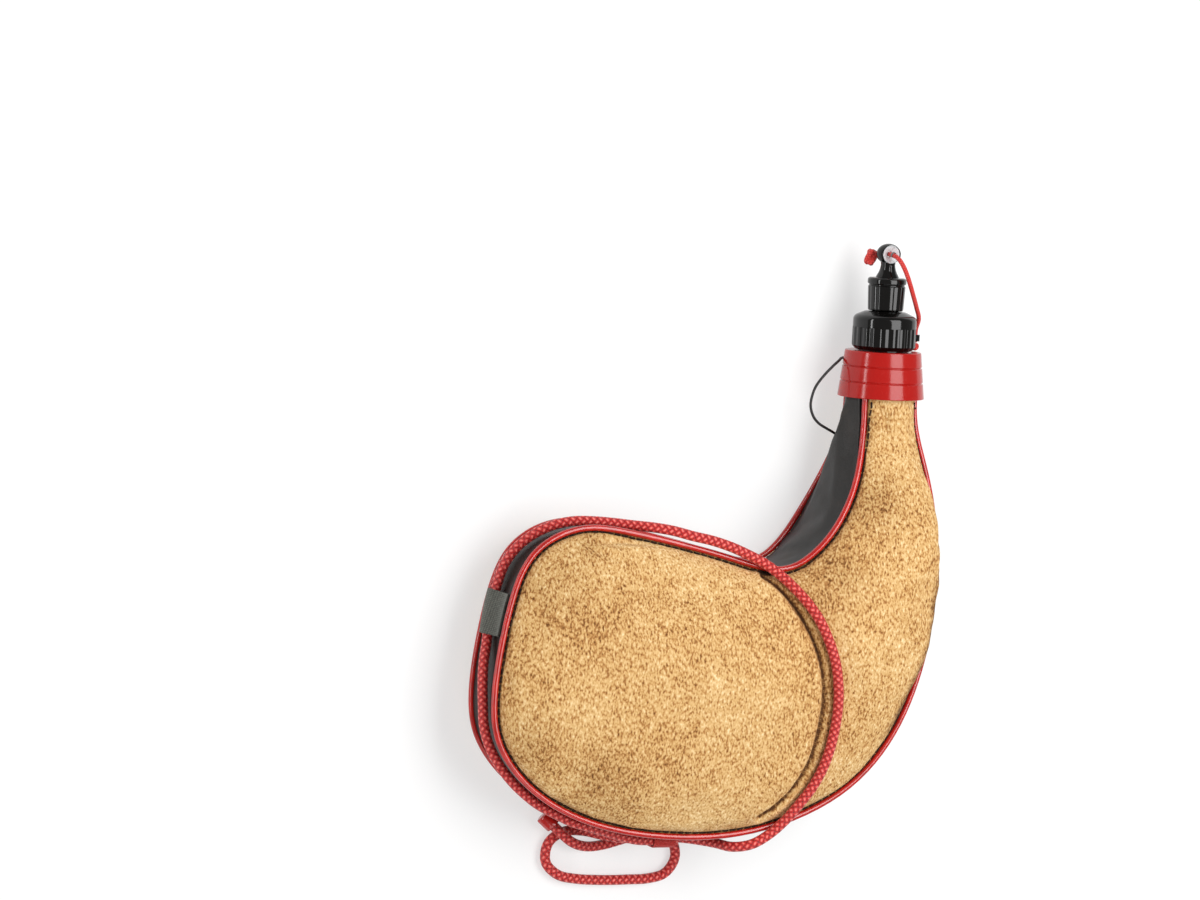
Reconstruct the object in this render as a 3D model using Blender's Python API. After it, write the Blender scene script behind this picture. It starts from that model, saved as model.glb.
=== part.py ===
import math

import bmesh
import bpy
from mathutils import Vector
from mathutils.bvhtree import BVHTree

for old_object in list(bpy.data.objects):
    bpy.data.objects.remove(old_object, do_unlink=True)

# Driving sizes, in metres. The bag lies on its back panel: X to the right,
# Y along the neck towards the caps, Z up from the table.
bag_width = 0.240
bag_length = 0.226
mid_height = 0.027
gusset_half = 0.024
front_rise = 0.0655
back_tuck = 0.006
piping_radius = 0.0024
piece_gap = 0.0003
suede_thickness = 0.0020
gusset_thickness = 0.0015
limb_bulge = 0.0008
lobe_hollow = 0.0012
liner_thickness = 0.0010
liner_play = 0.0006
liner_corner = 0.0034
liner_seam_drop = 0.0016
edge_depth = 0.0010
closed_seam_half = 0.00015

# Neck fitting, measured along the neck from the foot of the red collar.
neck_leather_radius = 0.0156
neck_foot_radius = 0.0178
neck_row_radius_shares = [0.0, 0.0, 0.77, 1.0]
neck_row_height_shares = [1.0, 0.32, 0.10, -0.12]
neck_leather_height = 0.0150
collar_height = 0.0240
collar_foot_radius = 0.0224
collar_top_radius = 0.0197
collar_wall = 0.0016
collar_groove = 0.0005
collar_lip_thickness = 0.0018
throat_bore_radius = 0.0095
throat_spigot_radius = 0.0117
throat_barb_height = 0.0003
throat_spigot_drop = 0.0080
flange_thickness = 0.0018
flange_radius = 0.0168
thread_radius = 0.0125
thread_reach = 0.0152
binding_thread_radius = 0.0011
binding_turns = 4
binding_foot = 0.0050
cap_clearance = 0.0005
cap_radius = 0.0164
cap_foot_radius = 0.0145
cap_rib_depth = 0.0006
cap_rib_count = 20
cap_skirt_length = 0.0168
cap_shoulder_rise = 0.0032
cap_shoulder_radius = 0.0108
cap_bore_radius = 0.0132
gasket_room = 0.0019
gasket_thickness = 0.0012
gasket_hole_radius = 0.0100
spout_radius = 0.0065
spout_length = 0.0125
spout_bore_radius = 0.0018
spout_seat_radius = 0.0034
spout_seat_depth = 0.0060
spout_hole_radius = 0.0010
stopper_length = 0.0170
stopper_radius = 0.0100
stopper_foot_radius = 0.0092
stopper_rib_depth = 0.0004
stopper_rib_count = 12
stopper_band = 0.0038
stopper_bore_radius = 0.0072
stopper_roof_thickness = 0.0026
seal_thickness = 0.0014
seal_pin_radius = 0.0006
seal_pin_length = 0.0020
stem_foot_radius = 0.0058
stem_top_radius = 0.0036
stem_length = 0.0072
knob_neck = 0.00064
knob_radius = 0.0055
eye_radius = 0.0019
eye_rim_radius = 0.0034

# Cords and what holds them. A route is a list of points chosen along the cord.
cord_radius = 0.0026
tether_radius = 0.0012
loop_cord_radius = 0.0007
cord_rest = 0.0004
keeper_thickness = 0.0012
keeper_play = 0.0013
holder_play = 0.0006
whipping_thickness = 0.0008
whipping_length = 0.0130
whipping_cover = 0.0010
anchor_thickness = 0.0012
anchor_length = 0.0080
lug_width = 0.0056
lug_height = 0.0034
lug_reach = 0.0216
lug_root = 0.0150
lug_rise = 0.0047
lug_angle = math.radians(-6)
lug_hole_radius = 0.0016
lug_hole_reach = 0.0192
knot_radius = 0.0027
knot_length = 0.0074
knot_gap = 0.0009
end_knot_radius = 0.0021
end_knot_length = 0.0040

# Points of the ring as shares of the bag's width and length, and of the gusset's half
# width from the middle. The tail's heights are shares of the middle's height.
carry_ring_shares = [
    (0.085, -0.350, 0.000), (0.033, -0.350, 0.000), (-0.025, -0.342, 0.125),
    (-0.133, -0.306, 0.292), (-0.196, -0.277, 0.313), (-0.258, -0.237, 0.313),
    (-0.312, -0.186, 0.313), (-0.352, -0.133, 0.292), (-0.374, -0.071, 0.271),
    (-0.380, -0.009, 0.229), (-0.378, 0.058, 0.146), (-0.363, 0.119, -0.033),
    (-0.354, 0.170, -0.117), (-0.341, 0.226, -0.146), (-0.322, 0.279, -0.146),
    (-0.288, 0.325, -0.083), (-0.242, 0.358, 0.021), (-0.188, 0.373, 0.125),
    (-0.125, 0.375, 0.250), (-0.062, 0.370, 0.417), (-0.013, 0.365, 0.604),
    (0.050, 0.353, 0.800), (0.125, 0.335, 0.896), (0.204, 0.301, 0.958),
    (0.250, 0.270, 1.083), (0.283, 0.232, 1.346), (0.312, 0.193, 1.525),
    (0.340, 0.142, 1.646), (0.367, 0.066, 1.692), (0.378, -0.013, 1.642),
    (0.375, -0.097, 1.525), (0.355, -0.187, 1.354), (0.316, -0.261, 1.167),
    (0.275, -0.317, 0.958), (0.229, -0.346, 0.875), (0.195, -0.356, 0.604),
    (0.173, -0.355, 0.208), (0.147, -0.353, -0.092), (0.115, -0.350, -0.233),
    (0.065, -0.350, -0.250),
]
carry_tail_shares = [
    (0.062, -0.350, 0.778), (0.008, -0.350, 0.767), (-0.029, -0.351, 0.574),
    (-0.060, -0.347, 0.315), (-0.087, -0.343, 0.156), (-0.120, -0.344, 0.111),
    (-0.153, -0.361, 0.111), (-0.167, -0.397, 0.111), (-0.153, -0.433, 0.111),
    (-0.119, -0.449, 0.111), (-0.079, -0.456, 0.111), (-0.025, -0.459, 0.111),
    (0.033, -0.459, 0.111), (0.088, -0.456, 0.111), (0.125, -0.440, 0.111),
    (0.140, -0.403, 0.111), (0.125, -0.365, 0.111), (0.088, -0.350, 0.111),
    (0.037, -0.358, 0.111), (-0.017, -0.374, 0.119), (-0.062, -0.379, 0.185),
    (-0.100, -0.373, 0.296), (-0.131, -0.355, 0.363), (-0.156, -0.331, 0.341),
    (-0.179, -0.308, 0.267),
]
# The tether and the elastic loop are given from the foot of the collar.
tether_route = [
    (-0.0048, 0.0722, -0.0098), (-0.0024, 0.0731, -0.0084), (-0.0007, 0.0737, -0.0056),
    (0.0000, 0.0738, -0.0015), (0.0002, 0.0737, 0.0044), (0.0010, 0.0722, 0.0092),
    (0.0026, 0.0688, 0.0118), (0.0048, 0.0643, 0.0124), (0.0074, 0.0592, 0.0116),
    (0.0108, 0.0532, 0.0094), (0.0146, 0.0472, 0.0062), (0.0182, 0.0413, 0.0026),
    (0.0191, 0.0360, -0.0015), (0.0191, 0.0330, -0.0020), (0.0191, 0.0286, -0.0020),
]
neck_loop_route = [
    (-0.0060, 0.0192, -0.0207), (-0.0125, 0.0190, -0.0176), (-0.0178, 0.0187, -0.0122),
    (-0.0217, 0.0180, -0.0065), (-0.0262, 0.0150, -0.0045), (-0.0312, 0.0102, -0.0040),
    (-0.0355, 0.0045, -0.0040), (-0.0375, -0.0012, -0.0040), (-0.0377, -0.0062, -0.0042),
    (-0.0356, -0.0112, -0.0046), (-0.0315, -0.0148, -0.0060), (-0.0265, -0.0172, -0.0080),
    (-0.0222, -0.0190, -0.0100),
]

revolve_segments = 32
binding_segments = 24
small_segments = 20
piping_sides = 6
rib_steps = 3
circle_offset = 0.5
lug_sides = 6
cord_sides = 8
keeper_row_count = 2
cord_step_diameters = 2.4
cord_bevel_steps = 2
settle_steps = 6
route_steps = 12
hole_sides = 12
eye_sides = 12
knob_rings = 5
smooth_steps = 2
circle_quarter = math.pi / 2
half_turn = math.pi
sharp_angle = math.radians(40)
full_turn = math.pi * 2
face_quadrant = math.radians(53)

# Seam line of the front panel as shares of the bag's width and length from the
# middle of the lobe, with the gusset's half width as a share of its widest.
inner_edge_shares = [
    (0.452, 0.593, 0.72), (0.430, 0.487, 0.93), (0.388, 0.385, 1.0), (0.333, 0.310, 0.90),
    (0.258, 0.273, 0.78), (0.117, 0.312, 0.70), (-0.108, 0.363, 0.665),
]
lobe_edge_shares = [
    (-0.204, 0.364, 0.65), (-0.279, 0.327, 0.63), (-0.327, 0.257, 0.625), (-0.358, 0.115, 0.625),
    (-0.371, -0.035, 0.625), (-0.342, -0.142, 0.625), (-0.242, -0.246, 0.625), (-0.063, -0.319, 0.635),
]
outer_edge_shares = [
    (0.618, 0.575, 0.70), (0.624, 0.442, 0.90), (0.625, 0.288, 0.96), (0.617, 0.124, 1.0),
    (0.563, -0.075, 0.955), (0.438, -0.237, 0.85), (0.208, -0.330, 0.70),
]
# Middle line of the two faces, with the height of the front face above the table
# and of the back face, both as shares of the front rise.
spine_shares = [
    (0.527, 0.584, 0.76, 0.09), (0.526, 0.465, 0.88, 0.0), (0.506, 0.336, 0.955, 0.0),
    (0.450, 0.190, 0.99, 0.0), (0.342, 0.066, 0.99, 0.0), (0.188, 0.013, 0.965, 0.0),
    (0.0, 0.0, 0.95, 0.0),
]
round_shares = [0.80, 0.28, 0.03]
neck_x_share = 0.521
neck_y_share = 0.664
ring_shares = [0.0, 0.38, 0.66, 0.84, 0.95, 1.0]
liner_ring_shares = [0.0, 0.66, 1.0]
gusset_row_shares = [-1.0, -0.4, 0.4, 1.0]
liner_side_shares = [0.3, -0.3]
collar_groove_shares = [0.34, 0.67]
barb_shares = [0.12, 0.28, 0.44]
stem_shares = [0.35, 0.7, 1.0]
keeper_row_shares = [0.32, 0.54, 0.76, 0.97]
keeper_cord_shares = [-0.28, -0.25, -0.19, -0.07]
keeper_span_shares = [-0.92, 0.74]
hump_offset_shares = [-0.6, -0.34, -0.17, 0.0, 0.17, 0.34, 0.6]
hump_height_shares = [0.0, 0.42, 0.88, 1.0, 0.88, 0.42, 0.0]
knot_height_shares = [0.0, 0.18, 0.5, 0.82, 1.0]
knot_radius_shares = [0.42, 0.86, 1.0, 0.86, 0.42]
settle_shares = [0.0, 0.25, 0.5, 0.75, 1.0]
crown_power = 2.2
crown_soften = 0.6

neck_x = neck_x_share * bag_width
neck_y = neck_y_share * bag_length
neck_foot = Vector((neck_x, neck_y, mid_height))
seam_half = piping_radius + piece_gap
thread_top = collar_height + thread_reach
cap_foot = collar_height + cap_clearance
cap_skirt_top = cap_foot + cap_skirt_length
cap_shoulder_top = cap_skirt_top + cap_shoulder_rise
cap_roof = thread_top + gasket_room
spout_top = cap_shoulder_top + spout_length
stopper_foot = cap_shoulder_top + piece_gap
stopper_top = stopper_foot + stopper_length
stopper_roof = stopper_top - stopper_roof_thickness
stem_top = stopper_top + stem_length
knob_foot_angle = math.asin(stem_top_radius / knob_radius)
knob_height = stem_top + knob_neck + knob_radius * math.cos(knob_foot_angle)
lug_foot = cap_foot + lug_rise


def srgb(code):
    channels = []
    for start in (0, 2, 4):
        value = int(code[start:start + 2], 16) / 255
        if value <= 0.04045:
            channels.append(value / 12.92)
        else:
            channels.append(((value + 0.055) / 1.055) ** 2.4)
    return channels


def make_material(name, code, roughness, metallic=0.0):
    material = bpy.data.materials.new(name)
    material.use_nodes = True
    shader = material.node_tree.nodes["Principled BSDF"]
    red, green, blue = srgb(code)
    shader.inputs["Base Color"].default_value = (red, green, blue, 1.0)
    shader.inputs["Roughness"].default_value = roughness
    shader.inputs["Metallic"].default_value = metallic
    material.diffuse_color = (red, green, blue, 1.0)
    return material


suede = make_material("suede", "dcab68", 0.95)
gusset_leather = make_material("gusset_leather", "4b4b46", 0.55)
piping_plastic = make_material("piping_plastic", "c2202a", 0.30)
liner_rubber = make_material("liner_rubber", "1c1b1a", 0.60)
black_plastic = make_material("black_plastic", "161514", 0.22)
collar_plastic = make_material("collar_plastic", "b8241f", 0.32)
binding_thread = make_material("binding_thread", "c9bfa6", 0.85)
gasket_rubber = make_material("gasket_rubber", "8c8a85", 0.60)
spout_plastic = make_material("spout_plastic", "b9b7b0", 0.35)
cord_braid = make_material("cord_braid", "b32420", 0.80)
elastic_cord = make_material("elastic_cord", "141414", 0.55)
webbing = make_material("webbing", "585a54", 0.85)


def add_mesh(name, vertices, faces, material, origin=None):
    mesh = bpy.data.meshes.new(name)
    mesh.from_pydata([tuple(vertex) for vertex in vertices], [], faces)
    shape = bmesh.new()
    shape.from_mesh(mesh)
    bmesh.ops.recalc_face_normals(shape, faces=shape.faces)
    if shape.calc_volume(signed=True) < 0:
        bmesh.ops.reverse_faces(shape, faces=shape.faces)
    shape.to_mesh(mesh)
    shape.free()
    for face in mesh.polygons:
        face.use_smooth = True
    mesh.set_sharp_from_angle(angle=sharp_angle)
    mesh.materials.append(material)
    piece = bpy.data.objects.new(name, mesh)
    piece.location = origin or (0, 0, 0)
    bpy.context.scene.collection.objects.link(piece)
    return piece


def smooth_through(points, steps):
    last = len(points) - 1
    result = []
    for index in range(last):
        before = points[max(index - 1, 0)]
        start = points[index]
        end = points[index + 1]
        after = points[min(index + 2, last)]
        for step in range(steps):
            t = step / steps
            row = []
            for a, b, c, d in zip(before, start, end, after):
                row.append(
                    b + (c - a) * t / 2
                    + (2 * a - 5 * b + 4 * c - d) * t * t / 2
                    + (3 * b - a - 3 * c + d) * t * t * t / 2
                )
            result.append(tuple(row))
    result.append(tuple(points[-1]))
    return result


# Every station along the seam carries: x, y, half width of the gusset, how round
# the neck is there, the round radius, and how far piping parts the edges.
neck_row_count = len(neck_row_radius_shares)


def neck_row(index, side):
    radius = neck_leather_radius
    radius += (neck_foot_radius - neck_leather_radius) * neck_row_radius_shares[index]
    height = neck_leather_height * neck_row_height_shares[index]
    parted = 1.0 if index >= neck_row_count - 2 else 0.0
    x = neck_x + side * radius * math.sin(face_quadrant)
    return (x, neck_y + height, radius * math.cos(face_quadrant), 1.0, radius, parted, limb_bulge)


def edge_row(shares, index):
    x_share, y_share, width_share = shares[index]
    roundness = round_shares[index] if index < len(round_shares) else 0.0
    radius = neck_foot_radius * (1 + index / len(round_shares) * (1 - roundness))
    bulge = -lobe_hollow if index == len(shares) - 1 else limb_bulge
    half = width_share * gusset_half
    return (x_share * bag_width, y_share * bag_length, half, roundness, radius, 1.0, bulge)


def lobe_row(index):
    x_share, y_share, width_share = lobe_edge_shares[index]
    half = width_share * gusset_half
    return (x_share * bag_width, y_share * bag_length, half, 0.0, neck_foot_radius, 1.0, -lobe_hollow)


inner_rows = [neck_row(index, -1) for index in range(neck_row_count)]
inner_rows += [edge_row(inner_edge_shares, index) for index in range(len(inner_edge_shares))]
outer_rows = [neck_row(index, 1) for index in range(neck_row_count)]
outer_rows += [edge_row(outer_edge_shares, index) for index in range(len(outer_edge_shares))]
lobe_rows = [lobe_row(index) for index in range(len(lobe_edge_shares))]
seam_rows = inner_rows + lobe_rows + outer_rows[::-1]
stations = smooth_through(seam_rows, smooth_steps)
side_last = (len(inner_rows) - 1) * smooth_steps
station_count = len(stations)

spine_rows = []
for index in range(neck_row_count):
    height = neck_leather_height * neck_row_height_shares[index]
    radius = neck_row(index, 1)[4]
    spine_rows.append((neck_x, neck_y + height, mid_height + radius, mid_height - radius))
for x_share, y_share, front_share, back_share in spine_shares:
    spine_rows.append((
        x_share * bag_width, y_share * bag_length,
        front_share * front_rise, back_share * front_rise,
    ))
spine = smooth_through(spine_rows, smooth_steps)


def spine_index(station):
    return min(station, side_last, station_count - 1 - station)


def side_of(station):
    return -1 if station < station_count / 2 else 1


def outward(station):
    before = stations[max(station - 1, 0)]
    after = stations[min(station + 1, station_count - 1)]
    direction = Vector((after[0] - before[0], after[1] - before[1], 0)).normalized()
    return Vector((direction.y, -direction.x, 0))


def crown(share):
    return (1 - share ** crown_power) ** crown_soften


def blend(plain, rounded, weight):
    return plain.lerp(rounded, min(max(weight, 0.0), 1.0))


def seam_point(station, front):
    x, y, half, roundness, radius, parted, bulge = stations[station]
    plain = Vector((x, y, mid_height + front * half))
    side = side_of(station)
    rounded = Vector((
        neck_x + side * radius * math.sin(face_quadrant), y,
        mid_height + front * radius * math.cos(face_quadrant),
    ))
    return blend(plain, rounded, roundness)


def parting(station):
    parted = min(max(stations[station][5], 0.0), 1.0)
    return closed_seam_half + (seam_half - closed_seam_half) * parted


def face_point(station, share, front):
    x, y, half, roundness, radius, parted, bulge = stations[station]
    middle = spine[spine_index(station)]
    edge = Vector((x, y, 0)) - outward(station) * parting(station)
    edge_height = mid_height + front * (half + suede_thickness / 2)
    spine_height = middle[2] if front > 0 else middle[3] - back_tuck
    height = max(edge_height + (spine_height - edge_height) * crown(share), 0.0)
    plain = Vector((
        middle[0] + (edge.x - middle[0]) * share,
        middle[1] + (edge.y - middle[1]) * share,
        height,
    ))
    surface = radius + suede_thickness / 2
    angle = share * (face_quadrant - parting(station) / surface)
    rounded = Vector((
        neck_x + side_of(station) * surface * math.sin(angle), plain.y,
        mid_height + front * surface * math.cos(angle),
    ))
    point = blend(plain, rounded, roundness)
    point.z = max(point.z, 0.0)
    return point


def gusset_point(station, share, depth):
    x, y, half, roundness, radius, parted, bulge = stations[station]
    reach = half - seam_half
    offset = bulge * (1 - share * share) - piece_gap - depth
    plain = Vector((x, y, mid_height + reach * share)) + outward(station) * offset
    surface = radius + gusset_thickness / 2 - depth
    span = circle_quarter - face_quadrant - parting(station) / surface
    angle = circle_quarter - share * span
    rounded = Vector((
        neck_x + side_of(station) * surface * math.sin(angle), y,
        mid_height + surface * math.cos(angle),
    ))
    return blend(plain, rounded, roundness)


def grid_normals(points, faces):
    shape = bmesh.new()
    vertices = [shape.verts.new(point) for point in points]
    for face in faces:
        shape.faces.new([vertices[index] for index in face])
    shape.normal_update()
    normals = [vertex.normal.copy() for vertex in vertices]
    shape.free()
    return normals


def sheet_layout(shares):
    spine_count = side_last + 1
    ring_count = len(shares) - 1

    def index_of(station, ring):
        if ring == 0:
            return spine_index(station)
        return spine_count + station * ring_count + ring - 1

    faces = []
    for station in range(station_count - 1):
        for ring in range(len(shares) - 1):
            corners = [
                index_of(station, ring), index_of(station, ring + 1),
                index_of(station + 1, ring + 1), index_of(station + 1, ring),
            ]
            unique = []
            for corner in corners:
                if corner not in unique:
                    unique.append(corner)
            faces.append(unique)
    return index_of, faces


def sheet_points(shares, front):
    points = [face_point(index, 0.0, front) for index in range(side_last + 1)]
    for station in range(station_count):
        for share in shares[1:]:
            points.append(face_point(station, share, front))
    return points


def sheet_boundary(index_of, shares):
    last = len(shares) - 1
    edge = [index_of(station, last) for station in range(station_count)]
    mouth = [index_of(station_count - 1, ring) for ring in range(last - 1, -1, -1)]
    mouth += [index_of(0, ring) for ring in range(1, last)]
    return edge + mouth


def facing(points, normals, front):
    flat_sum = sum((normal.z for normal in normals), 0.0)
    if flat_sum * front < 0:
        return [-normal for normal in normals]
    return normals


def edge_direction(station, front):
    roundness = stations[station][3]
    angle = face_quadrant
    rounded = Vector((side_of(station) * math.sin(angle), 0, front * math.cos(angle)))
    return blend(Vector((0, 0, front)), rounded, roundness).normalized()


def make_panel(name, front):
    index_of, faces = sheet_layout(ring_shares)
    skin = sheet_points(ring_shares, front)
    normals = facing(skin, grid_normals(skin, faces), front)
    last = len(ring_shares) - 1
    for station in range(station_count):
        normals[index_of(station, last)] = edge_direction(station, front)
    lining = [point - normal * suede_thickness for point, normal in zip(skin, normals)]
    count = len(skin)
    loop = sheet_boundary(index_of, ring_shares)
    walls = []
    for place, corner in enumerate(loop):
        other = loop[(place + 1) % len(loop)]
        walls.append([corner, other, other + count, corner + count])
    back_faces = [[index + count for index in face[::-1]] for face in faces]
    return add_mesh(name, skin + lining, faces + back_faces + walls, suede)


front_panel = make_panel("front_panel", 1)
back_panel = make_panel("back_panel", -1)


def loft(name, rows, material, origin=None, closed=False):
    width = len(rows[0])
    total = len(rows)
    vertices = [point for row in rows for point in row]
    faces = []
    for index in range(total if closed else total - 1):
        for place in range(width):
            following = (place + 1) % width
            upper = (index + 1) % total
            faces.append([
                index * width + place, index * width + following,
                upper * width + following, upper * width + place,
            ])
    if not closed:
        faces.append(list(range(width)))
        faces.append([(total - 1) * width + place for place in range(width)][::-1])
    return add_mesh(name, vertices, faces, material, origin)


def gusset_row(station):
    row = [gusset_point(station, share, 0.0) for share in gusset_row_shares]
    return row + [gusset_point(station, share, gusset_thickness) for share in gusset_row_shares[::-1]]


def between(row, other, share):
    return [a.lerp(b, share) for a, b in zip(row, other)]


gusset_break = side_last + smooth_steps
inner_gusset_rows = [gusset_row(station) for station in range(gusset_break + 1)]
outer_gusset_rows = [gusset_row(station) for station in range(gusset_break, station_count)]
break_share = piece_gap / (outer_gusset_rows[1][0] - outer_gusset_rows[0][0]).length
outer_gusset_rows[0] = between(outer_gusset_rows[0], outer_gusset_rows[1], break_share)
gusset_inner = loft("gusset_inner", inner_gusset_rows, gusset_leather)
gusset_outer = loft("gusset_outer", outer_gusset_rows, gusset_leather)


def make_piping(name, front):
    first = (neck_row_count - 2) * smooth_steps
    rows = []
    for station in range(first, station_count - first):
        centre = seam_point(station, front)
        across = outward(station)
        row = []
        for side in range(piping_sides):
            angle = full_turn * side / piping_sides
            spoke = across * math.cos(angle) + Vector((0, 0, math.sin(angle)))
            row.append(centre + spoke * piping_radius)
        rows.append(row)
    return loft(name, rows, piping_plastic)


front_piping = make_piping("front_piping", 1)
back_piping = make_piping("back_piping", -1)


# Inner bladder: a thin hollow skin that follows both faces and the gusset, open at
# the neck, where it sits over the throat.
def liner_edge(station, front):
    x, y, half, roundness, radius, parted, bulge = stations[station]
    drop = suede_thickness / 2 + liner_play
    plain = Vector((x, y, mid_height + front * (half - drop))) - outward(station) * liner_corner
    surface = radius - drop - liner_seam_drop * parted
    rounded = Vector((
        neck_x + side_of(station) * surface * math.sin(face_quadrant), y,
        mid_height + front * surface * math.cos(face_quadrant),
    ))
    return blend(plain, rounded, roundness)


def make_liner():
    index_of, sheet_faces = sheet_layout(liner_ring_shares)
    last = len(liner_ring_shares) - 1
    points = []
    for front in (1, -1):
        skin = sheet_points(liner_ring_shares, front)
        normals = facing(skin, grid_normals(skin, sheet_faces), front)
        depth = suede_thickness + liner_play
        skin = [point - normal * depth for point, normal in zip(skin, normals)]
        for station in range(station_count):
            skin[index_of(station, last)] = liner_edge(station, front)
        points += skin
    count = len(points) // 2
    side_start = len(points)
    side_count = len(liner_side_shares)
    for station in range(station_count):
        for share in liner_side_shares:
            points.append(gusset_point(station, share, gusset_thickness + liner_play))

    def column(station):
        side = [side_start + station * side_count + place for place in range(side_count)]
        return [index_of(station, last)] + side + [index_of(station, last) + count]

    faces = [list(face) for face in sheet_faces]
    faces += [[index + count for index in face[::-1]] for face in sheet_faces]
    for station in range(station_count - 1):
        here = column(station)
        there = column(station + 1)
        for place in range(len(here) - 1):
            faces.append([here[place], here[place + 1], there[place + 1], there[place]])
    mouth = [index_of(0, ring) for ring in range(1, last)][::-1] + [index_of(0, 0)]
    mouth += [index_of(station_count - 1, ring) for ring in range(1, last)]
    mouth += column(station_count - 1)
    mouth += [index_of(station_count - 1, ring) + count for ring in range(1, last)][::-1]
    mouth += [index_of(0, 0) + count] + [index_of(0, ring) + count for ring in range(1, last)]
    mouth += column(0)[::-1]
    shape = bmesh.new()
    vertices = [shape.verts.new(point) for point in points]
    for face in faces:
        shape.faces.new([vertices[index] for index in face])
    bmesh.ops.recalc_face_normals(shape, faces=shape.faces)
    shape.normal_update()
    sign = 1 if vertices[index_of(side_last, 0)].normal.z > 0 else -1
    normals = [vertex.normal * sign for vertex in vertices]
    shape.free()
    total = len(points)
    inside = [point - normal * liner_thickness for point, normal in zip(points, normals)]
    inside_faces = [[index + total for index in face[::-1]] for face in faces]
    rim = []
    for place, corner in enumerate(mouth):
        other = mouth[(place + 1) % len(mouth)]
        rim.append([corner, other, other + total, corner + total])
    return add_mesh("liner", points + inside, faces + inside_faces + rim, liner_rubber)


liner = make_liner()


# Turned pieces share the neck's axis. A profile is a list of (radius, height, rib)
# where rib is how much of the rib's depth is cut into the valleys of that ring.
def turned(name, profile, segments, material, ribs=0, rib_depth=0.0, ring=True):
    vertices = []
    faces = []
    rows = []
    for radius, height, rib in profile:
        if radius <= 0:
            rows.append([len(vertices)])
            vertices.append(Vector((0, height, 0)))
            continue
        row = []
        for step in range(segments):
            angle = full_turn * (step + circle_offset) / segments
            wave = rib_wave(step, segments, ribs)
            reach = radius - rib_depth * rib * wave
            row.append(len(vertices))
            vertices.append(Vector((reach * math.cos(angle), height, reach * math.sin(angle))))
        rows.append(row)
    pairs = list(zip(rows, rows[1:]))
    if ring:
        pairs.append((rows[-1], rows[0]))
    for lower, upper in pairs:
        for step in range(segments):
            following = (step + 1) % segments
            corners = [
                lower[step % len(lower)], lower[following % len(lower)],
                upper[following % len(upper)], upper[step % len(upper)],
            ]
            unique = []
            for corner in corners:
                if corner not in unique:
                    unique.append(corner)
            faces.append(unique)
    return add_mesh(name, vertices, faces, material, neck_foot)


def rib_wave(step, segments, ribs):
    if not ribs:
        return 0.0
    per_rib = segments // ribs
    return 1.0 if step % per_rib == per_rib - 1 else 0.0


def cut(piece, other, operation):
    modifier = piece.modifiers.new("cut", "BOOLEAN")
    modifier.operation = operation
    modifier.solver = "EXACT"
    modifier.object = other
    graph = bpy.context.evaluated_depsgraph_get()
    result = bpy.data.meshes.new_from_object(piece.evaluated_get(graph))
    piece.modifiers.remove(modifier)
    piece.data = result
    bpy.data.objects.remove(other, do_unlink=True)


def collar_radius(height):
    return collar_foot_radius + (collar_top_radius - collar_foot_radius) * height / collar_height


def make_collar():
    profile = [(collar_radius(0.0), 0.0, 0.0)]
    for share in collar_groove_shares:
        centre = share * collar_height
        for offset, depth in ((-1, 0.0), (0, 1.0), (1, 0.0)):
            height = centre + offset * collar_groove
            profile.append((collar_radius(height) - depth * collar_groove, height, 0.0))
    top = collar_height
    profile.append((collar_radius(top), top - collar_groove, 0.0))
    profile.append((collar_radius(top) - collar_groove, top, 0.0))
    mouth = thread_radius + 2 * piece_gap
    profile.append((mouth, top, 0.0))
    profile.append((mouth, top - collar_lip_thickness, 0.0))
    inside = top - collar_lip_thickness
    profile.append((collar_radius(inside) - collar_wall, inside, 0.0))
    profile.append((collar_radius(0.0) - collar_wall, 0.0, 0.0))
    return turned("collar", profile, revolve_segments, collar_plastic)


collar = make_collar()


def make_throat():
    bore = throat_bore_radius
    spigot = throat_spigot_radius
    flange_top = collar_height - collar_lip_thickness - piece_gap
    flange_foot = flange_top - flange_thickness
    foot = -throat_spigot_drop
    profile = [(bore, foot, 0.0), (spigot - throat_barb_height, foot, 0.0)]
    for share in barb_shares:
        height = foot + share * (flange_foot - foot)
        profile.append((spigot + throat_barb_height, height, 0.0))
        profile.append((spigot, height + throat_barb_height, 0.0))
    profile += [
        (spigot, flange_foot, 0.0), (flange_radius, flange_foot, 0.0), (flange_radius, flange_top, 0.0),
        (thread_radius, flange_top, 0.0), (thread_radius, thread_top - collar_groove, 0.0),
        (thread_radius - collar_groove, thread_top, 0.0), (bore, thread_top, 0.0),
    ]
    return turned("throat", profile, revolve_segments, black_plastic)


throat = make_throat()


def make_binding():
    inner = neck_leather_radius + suede_thickness / 2 + piece_gap
    middle = inner + binding_thread_radius
    outer = middle + binding_thread_radius
    pitch = 2 * binding_thread_radius
    profile = [(inner, binding_foot, 0.0), (middle, binding_foot, 0.0)]
    for turn in range(binding_turns):
        centre = binding_foot + (turn + circle_offset) * pitch
        profile.append((outer, centre, 0.0))
        profile.append((middle, binding_foot + (turn + 1) * pitch, 0.0))
    profile.append((inner, binding_foot + binding_turns * pitch, 0.0))
    return turned("neck_binding", profile, binding_segments, binding_thread)


neck_binding = make_binding()


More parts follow.
